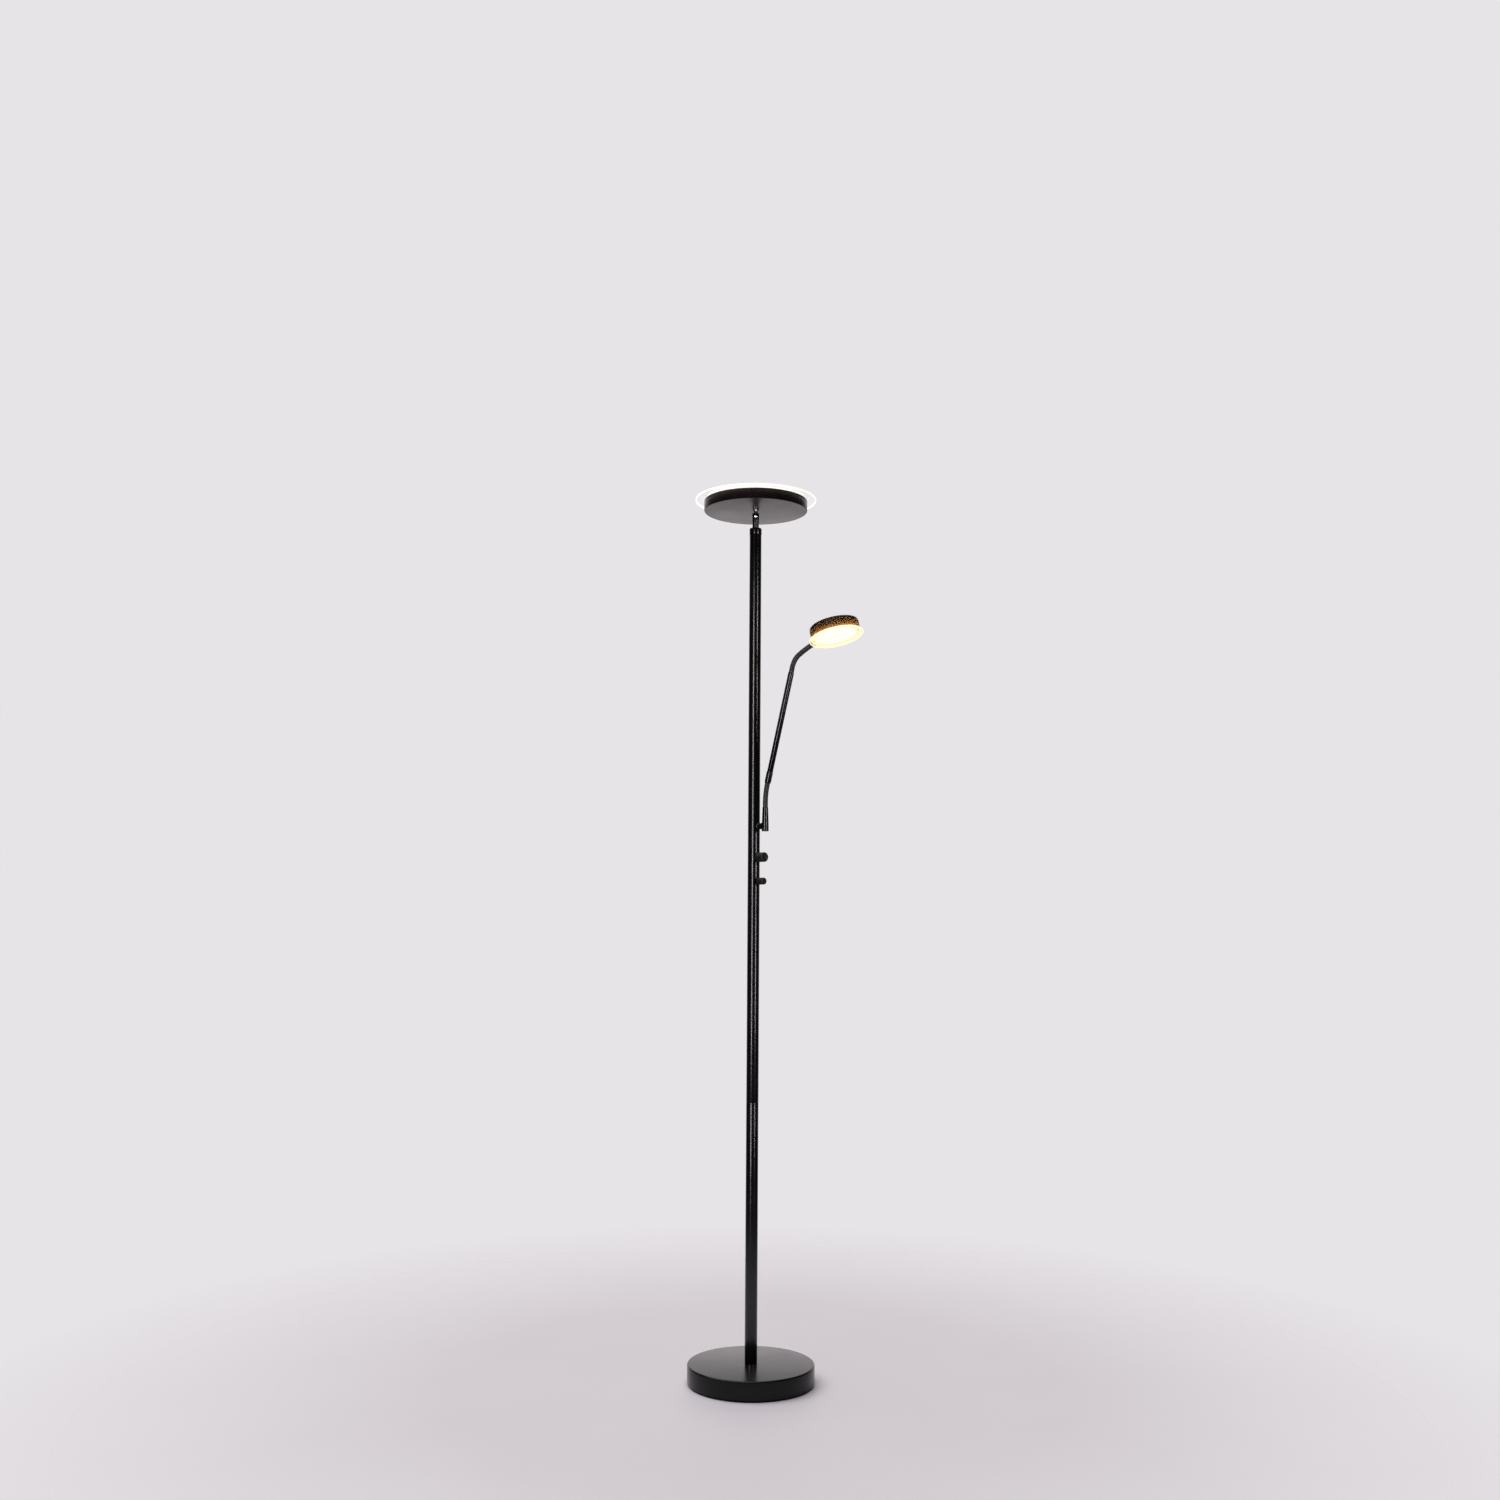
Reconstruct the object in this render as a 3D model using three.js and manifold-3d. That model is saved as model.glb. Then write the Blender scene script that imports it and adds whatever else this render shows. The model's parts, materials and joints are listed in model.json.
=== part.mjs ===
// LED torchiere floor lamp with a reading lamp on two flexible necks.
// Millimetres, +Z up. The origin is the centre of the base's rest face, on the floor.
// The reading arm and both knobs stand out from the pole along +X.
import * as THREE from 'three';
import { mergeVertices } from 'three/addons/utils/BufferGeometryUtils.js';
import Module from 'manifold-3d';

const wasm = await Module();
wasm.setup();

// ---- driving dimensions ----------------------------------------------------
const GAP = 0.3;                 // between pieces that rest on each other or slide in each other
const SMALL_ROUND = 16;          // sides of a small turned piece
const TUBE_ROUND = 24;           // sides of the pole
const LARGE_ROUND = 48;          // sides of the base and the main head

const PAD_THICKNESS = 3;
const PAD_RADIUS = 119;
const BASE_RADIUS = 127;
const BASE_HEIGHT = 39;
const BASE_WALL = 1.2;
const BASE_EDGE = 3;
const WEIGHT_RADIUS = 121;
const WEIGHT_THICKNESS = 12;
const BOSS_RADIUS = 35;
const NUT_RECESS_RADIUS = 18;
const NUT_RECESS_DEPTH = 9;
const STUD_RADIUS = 5;
const STUD_BORE = 3.2;
const STUD_TOP = 59;
const GROMMET_HEIGHT = 11;

const POLE_RADIUS = 12.5;
const POLE_WALL = 1;
const POLE_SEAMS = [BASE_HEIGHT, 548, 927, 1325, 1724];
const INSERT_RADIUS = POLE_RADIUS - POLE_WALL - GAP;
const COUPLER_LENGTH = 50;
const COUPLER_BORE = 8;
const FOOT_LENGTH = 30;
const CAP_RADIUS = 12.9;
const CAP_HEIGHT = 13.5;
const LEAD_RADIUS = 2;
const LEAD_OFFSET = -5;

const SWITCH_HEIGHT = 995;
const DIMMER_HEIGHT = 1044;

const ARM_HEIGHT = 1107.7;        // the bracket's axis
const ARM_REACH = 36;            // from the pole's axis to the arm socket's axis
const BRACKET_RADIUS = 7;
const BRACKET_PIN = 3;
const SOCKET_BOTTOM = 1096.4;
const SOCKET_TOP = 1146;
const SOCKET_BOTTOM_RADIUS = 7.2;
const SOCKET_TOP_RADIUS = 5.8;
const NECK_RADIUS = 5.3;
const LOWER_LINKS = 4;
const UPPER_LINKS = 6;
const ARM_LEAN = THREE.MathUtils.degToRad(18.1);
const ARM_LENGTH = 233;          // from the lower neck's end to the upper neck's start
const ARM_TUBE_RADIUS = 6;
const FERRULE_RADIUS = 6.65;
const FERRULE_LENGTH = 24;

const READING_TILT = THREE.MathUtils.degToRad(15.6);
const READING_ROLL = THREE.MathUtils.degToRad(1.8);
const READING_RADIUS = 49.5;
const READING_HEIGHT = 25;
const READING_DISC_RADIUS = 54;
const READING_ENTRY = 12.4;      // height of the neck's entry above the clear disc's middle
const READING_FERRULE_LENGTH = 8;

const BALL_HEIGHT = 1764;
const BALL_RADIUS = 5.5;
const STEM_RADIUS = 4;
const STEM_THREAD = 3.4;
const JOINT_RADIUS = 7.25;
const JOINT_TOP = 1771;
const SLOT_FACING = THREE.MathUtils.degToRad(-40);
const PAN_RADIUS = 109;
const PAN_BOTTOM = 1774;
const PAN_TOP = 1794;
const PAN_WALL = 1.5;
const HEAD_DISC_RADIUS = 127;
const LAMP_HEIGHT = 1800;

// ---- finishes --------------------------------------------------------------
const finish = (color, roughness, metalness) => new THREE.MeshStandardMaterial({ color, roughness, metalness });
const powderCoat = finish(0x17171a, 0.42, 0.5);
const blackPlastic = finish(0x111113, 0.55, 0);
const flexSteel = finish(0x1b1b1e, 0.4, 0.6);
const castIron = finish(0x3a3a3c, 0.8, 0.8);
const padFoam = finish(0x202022, 0.95, 0);
const zincSteel = finish(0xa9a9a4, 0.4, 1);
const chrome = finish(0xd8d8d8, 0.1, 1);
const aluminium = finish(0xc2c4c6, 0.4, 1);
const whiteBoard = finish(0xe9e9e4, 0.6, 0);
const opal = finish(0xfff0d4, 0.5, 0);
const clearAcrylic = finish(0xe8f0f2, 0.08, 0);
const leadSheath = finish(0x2a2a2d, 0.7, 0);

// ---- solids ----------------------------------------------------------------
function signedVolume(geometry) {
  const position = geometry.getAttribute('position');
  const index = geometry.getIndex();
  const [a, b, c] = [new THREE.Vector3(), new THREE.Vector3(), new THREE.Vector3()];
  let total = 0;
  for (let i = 0; i < index.count; i += 3) {
    a.fromBufferAttribute(position, index.getX(i));
    b.fromBufferAttribute(position, index.getX(i + 1));
    c.fromBufferAttribute(position, index.getX(i + 2));
    total += a.dot(b.cross(c)) / 6;
  }
  return total;
}

// Merges shared corners, drops triangles that collapsed on the axis and turns the faces outwards.
function weld(geometry) {
  geometry.deleteAttribute('normal');
  geometry.deleteAttribute('uv');
  const merged = mergeVertices(geometry, 1e-4);
  const corners = Array.from(merged.getIndex().array);
  const kept = [];
  for (let i = 0; i < corners.length; i += 3) {
    const [a, b, c] = corners.slice(i, i + 3);
    if (a !== b && b !== c && c !== a) kept.push(a, b, c);
  }
  merged.setIndex(kept);
  if (signedVolume(merged) < 0) merged.setIndex(kept.reverse());
  return merged;
}

// A solid of revolution about Z from [radius, height] pairs.
function turned(profile, sides = SMALL_ROUND) {
  const points = profile.map(([radius, height]) => new THREE.Vector2(radius, height));
  return weld(new THREE.LatheGeometry(points, sides).rotateX(Math.PI / 2));
}

const rod = (radius, bottom, top, sides) => turned([[0, bottom], [radius, bottom], [radius, top], [0, top]], sides);

const ring = (inner, outer, bottom, top, sides) => turned(
  [[inner, bottom], [outer, bottom], [outer, top], [inner, top], [inner, bottom]], sides);

// Points of a quarter or longer arc in a [radius, height] profile.
function arc(centreRadius, centreHeight, radius, fromAngle, toAngle, steps) {
  const points = [];
  for (let i = 0; i <= steps; i += 1) {
    const angle = fromAngle + (toAngle - fromAngle) * i / steps;
    points.push([centreRadius + radius * Math.cos(angle), centreHeight + radius * Math.sin(angle)]);
  }
  return points;
}

function hexNut(acrossFlats, bore, bottom, top) {
  const outline = new THREE.Shape();
  for (let corner = 0; corner < 6; corner += 1) {
    const angle = corner * Math.PI / 3;
    const reach = acrossFlats / 2 / Math.cos(Math.PI / 6);
    if (corner === 0) outline.moveTo(reach * Math.cos(angle), reach * Math.sin(angle));
    else outline.lineTo(reach * Math.cos(angle), reach * Math.sin(angle));
  }
  const hole = new THREE.Path();
  hole.absarc(0, 0, bore, 0, 2 * Math.PI);
  outline.holes.push(hole);
  const geometry = new THREE.ExtrudeGeometry(outline, { depth: top - bottom, bevelEnabled: false, curveSegments: 8 });
  return weld(geometry.translate(0, 0, bottom));
}

function toSolid(geometry) {
  const vertProperties = new Float32Array(geometry.getAttribute('position').array);
  const triVerts = new Uint32Array(geometry.getIndex().array);
  return new wasm.Manifold(new wasm.Mesh({ numProp: 3, vertProperties, triVerts }));
}

function fromSolid(solid) {
  const mesh = solid.getMesh();
  const geometry = new THREE.BufferGeometry();
  geometry.setAttribute('position', new THREE.BufferAttribute(new Float32Array(mesh.vertProperties), 3));
  geometry.setIndex(Array.from(mesh.triVerts));
  return geometry;
}

function cut(body, ...tools) {
  const result = tools.reduce((solid, tool) => solid.subtract(toSolid(tool)), toSolid(body));
  return fromSolid(result);
}

const alongX = (geometry) => geometry.rotateY(Math.PI / 2);

function piece(name, geometry, material) {
  const mesh = new THREE.Mesh(geometry, material);
  mesh.name = name;
  return mesh;
}

function assembly(...pieces) {
  const group = new THREE.Group();
  group.add(...pieces);
  return group;
}

// ---- the bent centre line of a flexible neck, in the XZ plane ---------------
// A run of bends, each a length that turns through an angle (0 for a straight). Headings are from +Z towards +X.
class BentLine {
  constructor(start, heading, bends) {
    this.start = start;
    this.heading = heading;
    this.bends = bends;
    this.length = bends.reduce((sum, bend) => sum + bend.length, 0);
  }

  at(distance) {
    const point = this.start.clone();
    let heading = this.heading;
    let left = distance;
    for (const { length, turn } of this.bends) {
      const used = Math.min(left, length);
      const swept = turn * used / length;
      const middle = heading + swept / 2;
      const chord = swept === 0 ? used : 2 * (used / swept) * Math.sin(swept / 2);
      point.x += chord * Math.sin(middle);
      point.z += chord * Math.cos(middle);
      heading += swept;
      left -= used;
    }
    return { point, heading };
  }
}

// One link of a neck: a curved rod whose ends are blunt cones, so that it can tip on its neighbour.
function neckLink(line, from, to) {
  const coneDepth = 2.1;
  const rings = 5;
  const sides = 16;
  const begin = from + GAP / 2 + coneDepth;
  const end = to - GAP / 2 - coneDepth;
  const corners = [line.at(from + GAP / 2).point];
  for (let i = 0; i < rings; i += 1) {
    const { point, heading } = line.at(begin + (end - begin) * i / (rings - 1));
    const across = new THREE.Vector3(Math.cos(heading), 0, -Math.sin(heading));
    for (let side = 0; side < sides; side += 1) {
      const angle = 2 * Math.PI * side / sides;
      const corner = point.clone().addScaledVector(across, NECK_RADIUS * Math.cos(angle));
      corner.y += NECK_RADIUS * Math.sin(angle);
      corners.push(corner);
    }
  }
  corners.push(line.at(to - GAP / 2).point);
  const last = corners.length - 1;
  const faces = [];
  for (let side = 0; side < sides; side += 1) {
    const next = (side + 1) % sides;
    faces.push(0, 1 + side, 1 + next);
    for (let i = 0; i < rings - 1; i += 1) {
      const low = 1 + i * sides;
      const high = low + sides;
      faces.push(low + side, high + side, low + next, low + next, high + side, high + next);
    }
    const rim = 1 + (rings - 1) * sides;
    faces.push(last, rim + next, rim + side);
  }
  const geometry = new THREE.BufferGeometry().setFromPoints(corners);
  geometry.setIndex(faces);
  return weld(geometry);
}

function neckLinks(name, line, count) {
  const pitch = line.length / count;
  return Array.from({ length: count }, (_, i) => (
    piece(`${name}_${i + 1}`, neckLink(line, i * pitch, (i + 1) * pitch), flexSteel)));
}

// ---- base ------------------------------------------------------------------
function base() {
  const weightTop = PAD_THICKNESS + WEIGHT_THICKNESS;
  const ceiling = BASE_HEIGHT - BASE_WALL;
  const recessTop = PAD_THICKNESS + NUT_RECESS_DEPTH;
  const washerBottom = recessTop - 1.8;
  const studHole = STUD_RADIUS + GAP;
  const innerRadius = BASE_RADIUS - BASE_WALL;
  const innerEdge = BASE_EDGE - BASE_WALL;
  const coverShell = turned([
    [studHole, BASE_HEIGHT],
    ...arc(BASE_RADIUS - BASE_EDGE, BASE_HEIGHT - BASE_EDGE, BASE_EDGE, Math.PI / 2, 0, 3),
    [BASE_RADIUS, PAD_THICKNESS],
    [innerRadius, PAD_THICKNESS],
    ...arc(innerRadius - innerEdge, ceiling - innerEdge, innerEdge, 0, Math.PI / 2, 2),
    [studHole, ceiling],
    [studHole, BASE_HEIGHT],
  ], LARGE_ROUND);
  const grommetHole = alongX(rod(5.3, -BASE_RADIUS - 3, -WEIGHT_RADIUS - 2)).translate(0, 0, GROMMET_HEIGHT);
  const grommet = alongX(turned([
    [3, -128.6], [6.5, -128.6], [6.5, -127.3], [4.9, -127.3], [4.9, -125.2],
    [6.5, -125.2], [6.5, -123.4], [3, -123.4], [3, -128.6],
  ])).translate(0, 0, GROMMET_HEIGHT);
  const weight = turned([
    [studHole, recessTop], [NUT_RECESS_RADIUS, recessTop], [NUT_RECESS_RADIUS, PAD_THICKNESS],
    [WEIGHT_RADIUS, PAD_THICKNESS], [WEIGHT_RADIUS, weightTop], [BOSS_RADIUS + 6, weightTop],
    [BOSS_RADIUS, ceiling], [studHole, ceiling], [studHole, recessTop],
  ], LARGE_ROUND);
  return assembly(
    piece('base_cover', cut(coverShell, grommetHole), powderCoat),
    piece('base_weight', weight, castIron),
    piece('base_pad', rod(PAD_RADIUS, 0, PAD_THICKNESS, LARGE_ROUND), padFoam),
    piece('base_stud', ring(STUD_BORE, STUD_RADIUS, PAD_THICKNESS + 0.6, STUD_TOP), zincSteel),
    piece('base_washer', ring(studHole, 14, washerBottom, recessTop), zincSteel),
    piece('base_nut', hexNut(17, studHole, washerBottom - 6, washerBottom), zincSteel),
    piece('cord_grommet', grommet, blackPlastic),
  );
}

// ---- pole ------------------------------------------------------------------
function pole() {
  const inner = POLE_RADIUS - POLE_WALL;
  const tubes = POLE_SEAMS.slice(0, -1).map((bottom, i) => (
    ring(inner, POLE_RADIUS, bottom, POLE_SEAMS[i + 1], TUBE_ROUND)));
  const wallHole = (radius, height) => alongX(rod(radius, 4, POLE_RADIUS + 3)).translate(0, 0, height);
  tubes[2] = cut(tubes[2], wallHole(3.4, SWITCH_HEIGHT), wallHole(4.1, DIMMER_HEIGHT), wallHole(3.4, ARM_HEIGHT));
  const couplers = POLE_SEAMS.slice(1, -1).map((seam) => (
    ring(COUPLER_BORE, INSERT_RADIUS, seam - COUPLER_LENGTH / 2, seam + COUPLER_LENGTH / 2, TUBE_ROUND)));
  const footTop = BASE_HEIGHT + FOOT_LENGTH;
  const foot = turned([
    [STUD_RADIUS + GAP, BASE_HEIGHT], [INSERT_RADIUS, BASE_HEIGHT], [INSERT_RADIUS, footTop],
    [STUD_BORE + GAP, footTop], [STUD_BORE + GAP, STUD_TOP + 2], [STUD_RADIUS + GAP, STUD_TOP + 2],
    [STUD_RADIUS + GAP, BASE_HEIGHT],
  ], TUBE_ROUND);
  const tubeTop = POLE_SEAMS[4];
  const capTop = tubeTop + CAP_HEIGHT;
  const capBore = STEM_RADIUS + GAP;
  const cap = turned([
    [capBore, tubeTop - 12], [INSERT_RADIUS, tubeTop - 12], [INSERT_RADIUS, tubeTop], [CAP_RADIUS, tubeTop],
    ...arc(CAP_RADIUS - 2, capTop - 2, 2, 0, Math.PI / 2, 3),
    [capBore, capTop], [capBore, tubeTop - 12],
  ], TUBE_ROUND);
  const upperLead = rod(LEAD_RADIUS, DIMMER_HEIGHT + 13, tubeTop - 22, 12).translate(LEAD_OFFSET, 0, 0);
  return assembly(
    ...tubes.map((tube, i) => piece(`pole_tube_${i + 1}`, tube, powderCoat)),
    ...couplers.map((coupler, i) => piece(`pole_coupler_${i + 1}`, coupler, zincSteel)),
    piece('pole_foot', foot, zincSteel),
    piece('pole_cap', cap, powderCoat),
    piece('lower_lead', rod(2.6, PAD_THICKNESS + 1.2, SWITCH_HEIGHT - 11, 12), leadSheath),
    piece('upper_lead', upperLead, leadSheath),
  );
}

// ---- rotary controls, built along +Z and laid along +X ----------------------
function rotaryControl(name, height, size) {
  const { bodyRadius, bushRadius, spindleRadius, nutFlats, knobRadius, knobStart, knobEnd, knobEdge } = size;
  const bodyFront = 6;
  const bushEnd = POLE_RADIUS + 3;
  const bore = spindleRadius + GAP;
  const body = turned([
    [0, -bodyFront], [bodyRadius, -bodyFront], [bodyRadius, bodyFront], [bushRadius, bodyFront],
    [bushRadius, bushEnd], [bore, bushEnd], [bore, -3], [0, -3],
  ]);
  const spindleEnd = knobEnd - 6;
  const pocket = bushRadius + 2.6;
  const knob = turned([
    [0, spindleEnd + GAP], [bore, spindleEnd + GAP], [bore, bushEnd + 1], [pocket, bushEnd + 1],
    [pocket, knobStart], [knobRadius, knobStart],
    ...arc(knobRadius - knobEdge, knobEnd - knobEdge, knobEdge, 0, Math.PI / 2, 4),
    [0, knobEnd],
  ], 24);
  const nutStart = POLE_RADIUS + GAP;
  const group = assembly(
    piece(`${name}_body`, body, blackPlastic),
    piece(`${name}_spindle`, rod(spindleRadius, -2.5, spindleEnd), zincSteel),
    piece(`${name}_nut`, hexNut(nutFlats, bushRadius + GAP, nutStart, nutStart + 2), powderCoat),
    piece(`${name}_knob`, knob, blackPlastic),
  );
  group.rotation.y = Math.PI / 2;
  group.position.z = height;
  return group;
}

function controls() {
  return assembly(
    rotaryControl('dimmer', DIMMER_HEIGHT, {
      bodyRadius: 8, bushRadius: 3.8, spindleRadius: 3, nutFlats: 9.6,
      knobRadius: 9.9, knobStart: 13.1, knobEnd: 35.9, knobEdge: 3,
    }),
    rotaryControl('switch', SWITCH_HEIGHT, {
      bodyRadius: 7, bushRadius: 3, spindleRadius: 2.2, nutFlats: 8.4,
      knobRadius: 7.15, knobStart: 15.2, knobEnd: 34.4, knobEdge: 3,
    }),
  );
}

// ---- arm bracket and socket --------------------------------------------------
function armMount() {
  const pinEnd = ARM_REACH - 1;
  const bracket = alongX(turned([
    [0, 5.5], [BRACKET_PIN, 5.5], [BRACKET_PIN, POLE_RADIUS + GAP], [BRACKET_RADIUS, POLE_RADIUS + GAP],
    [BRACKET_RADIUS, ARM_REACH - SOCKET_BOTTOM_RADIUS - GAP], [BRACKET_PIN, ARM_REACH - SOCKET_BOTTOM_RADIUS - GAP],
    [BRACKET_PIN, pinEnd], [0, pinEnd],
  ])).translate(0, 0, ARM_HEIGHT);
  const nut = alongX(hexNut(10, BRACKET_PIN + GAP, 6.5, 9.2)).translate(0, 0, ARM_HEIGHT);
  const socketBody = turned([
    [0, SOCKET_BOTTOM], [SOCKET_BOTTOM_RADIUS, SOCKET_BOTTOM],
    [SOCKET_BOTTOM_RADIUS, ARM_HEIGHT], [SOCKET_TOP_RADIUS, SOCKET_TOP], [0, SOCKET_TOP],
  ]).translate(ARM_REACH, 0, 0);
  const pinHole = alongX(rod(BRACKET_PIN + GAP, ARM_REACH - 10, ARM_REACH)).translate(0, 0, ARM_HEIGHT);
  return assembly(
    piece('arm_bracket', bracket, powderCoat),
    piece('arm_bracket_nut', nut, zincSteel),
    piece('arm_socket', cut(socketBody, pinHole), powderCoat),
  );
}

// ---- reading arm -------------------------------------------------------------
const lowerNeck = new BentLine(new THREE.Vector3(ARM_REACH, 0, SOCKET_TOP), 0, [
  { length: 8, turn: 0 },
  { length: 42, turn: ARM_LEAN },
]);
const armStart = lowerNeck.at(lowerNeck.length).point;
const armEnd = armStart.clone().add(new THREE.Vector3(Math.sin(ARM_LEAN), 0, Math.cos(ARM_LEAN))
  .multiplyScalar(ARM_LENGTH));
const NECK_ELBOW = THREE.MathUtils.degToRad(65);
const upperNeck = new BentLine(armEnd, ARM_LEAN, [
  { length: 11, turn: 0 },
  { length: 31, turn: NECK_ELBOW - ARM_LEAN },
  { length: 54, turn: Math.PI / 2 - READING_TILT - NECK_ELBOW },
]);

function readingArm() {
  const tubeBottom = 6;
  const tubeBore = ARM_TUBE_RADIUS - 1;
  const ferrule = turned([
    [2.5, GAP / 2], [NECK_RADIUS + 0.5, GAP / 2], [FERRULE_RADIUS, 3], [FERRULE_RADIUS, FERRULE_LENGTH],
    [ARM_TUBE_RADIUS + GAP, FERRULE_LENGTH], [ARM_TUBE_RADIUS + GAP, tubeBottom], [2.5, tubeBottom],
    [2.5, GAP / 2],
  ]);
  const tubeTop = ARM_LENGTH - 2;
  const plug = turned([
    [2.5, tubeTop - 12], [tubeBore - GAP, tubeTop - 12], [tubeBore - GAP, tubeTop + GAP],
    [ARM_TUBE_RADIUS, tubeTop + GAP], [ARM_TUBE_RADIUS - 0.4, ARM_LENGTH - GAP / 2],
    [2.5, ARM_LENGTH - GAP / 2], [2.5, tubeTop - 12],
  ]);
  const rigid = assembly(
    piece('arm_ferrule', ferrule, powderCoat),
    piece('arm_tube', ring(tubeBore, ARM_TUBE_RADIUS, tubeBottom + GAP, tubeTop), powderCoat),
    piece('arm_tube_plug', plug, powderCoat),
  );
  rigid.position.copy(armStart);
  rigid.rotation.y = ARM_LEAN;
  return assembly(
    ...neckLinks('lower_neck_link', lowerNeck, LOWER_LINKS),
    rigid,
    ...neckLinks('upper_neck_link', upperNeck, UPPER_LINKS),
  );
}

// ---- reading head: +Z is its back, the neck enters from -X --------------------
function readingHead() {
  const discHalf = 1.5;
  const mouth = discHalf + GAP;
  const wall = 2.2;
  const inner = READING_RADIUS - wall;
  const ceiling = READING_HEIGHT - 2.5;
  const shell = turned([
    [0, READING_HEIGHT], [READING_RADIUS - 2, READING_HEIGHT], [READING_RADIUS, READING_HEIGHT - 2],
    [READING_RADIUS, mouth], [inner, mouth], [inner, ceiling], [0, ceiling],
  ], LARGE_ROUND);
  const entryHole = alongX(rod(STEM_RADIUS + GAP, -READING_RADIUS - 2, -inner + 3)).translate(0, 0, READING_ENTRY);
  const collarEnd = -READING_RADIUS - 0.4;
  const collarStart = collarEnd - READING_FERRULE_LENGTH;
  const ferrule = alongX(turned([
    [2, collarStart + GAP / 2], [NECK_RADIUS + 0.5, collarStart + GAP / 2], [NECK_RADIUS + 0.9, collarStart + 2],
    [NECK_RADIUS + 0.9, collarEnd], [STEM_RADIUS, collarEnd], [STEM_RADIUS, -42], [2, -42],
    [2, collarStart + GAP / 2],
  ])).translate(0, 0, READING_ENTRY);
  const nut = alongX(hexNut(10, STEM_RADIUS + GAP, -46.6, -43.2)).translate(0, 0, READING_ENTRY);
  const head = assembly(
    piece('reading_ferrule', ferrule, powderCoat),
    piece('reading_ferrule_nut', nut, zincSteel),
    piece('reading_housing', cut(shell, entryHole), powderCoat),
    piece('reading_led_board', rod(44, ceiling - GAP - 1.6, ceiling - GAP, 40), whiteBoard),
    piece('reading_diffuser', rod(inner - 0.5, mouth + 0.4, mouth + 2.4, LARGE_ROUND), opal),
    piece('reading_disc', rod(READING_DISC_RADIUS, -discHalf, discHalf, LARGE_ROUND), clearAcrylic),
  );
  head.rotation.set(READING_ROLL, -READING_TILT, 0, 'YXZ');
  const entry = new THREE.Vector3(collarStart, 0, READING_ENTRY).applyEuler(head.rotation);
  head.position.copy(upperNeck.at(upperNeck.length).point).sub(entry);
  return head;
}

// ---- main head: a slotted ball joint turns on the pole's cap ------------------
function ballJoint() {
  const seat = POLE_SEAMS[4] + CAP_HEIGHT + GAP;
  const spigotBottom = POLE_SEAMS[4] - 18;
  const outer = turned([
    [0, spigotBottom], [STEM_RADIUS, spigotBottom], [STEM_RADIUS, seat], [6.7, seat],
    [JOINT_RADIUS, JOINT_TOP - 2], [JOINT_RADIUS - 1, JOINT_TOP], [0, JOINT_TOP],
  ], 24);
  const cavity = weld(new THREE.SphereGeometry(BALL_RADIUS + 0.5, 24, 14)).translate(0, 0, BALL_HEIGHT);
  const throat = rod(STEM_RADIUS + 0.6, BALL_HEIGHT, JOINT_TOP + 2);
  const slotBottom = BALL_HEIGHT - STEM_RADIUS - 0.6;
  const slotHeight = JOINT_TOP + 2 - slotBottom;
  const slotWidth = 2 * (STEM_RADIUS + 0.4);
  const slotBox = new THREE.BoxGeometry(JOINT_RADIUS + 3, slotWidth, slotHeight);
  const slot = weld(slotBox.translate((JOINT_RADIUS + 3) / 2, 0, slotBottom + slotHeight / 2));
  const leadWay = rod(1.8, spigotBottom - 1, BALL_HEIGHT);
  const nut = hexNut(14, STEM_RADIUS + GAP, spigotBottom + 1, spigotBottom + 5.4);
  const joint = assembly(
    piece('head_socket', cut(outer, cavity, throat, slot, leadWay), powderCoat),
    piece('socket_nut', nut, zincSteel),
  );
  joint.rotation.z = SLOT_FACING;
  return joint;
}

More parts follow.
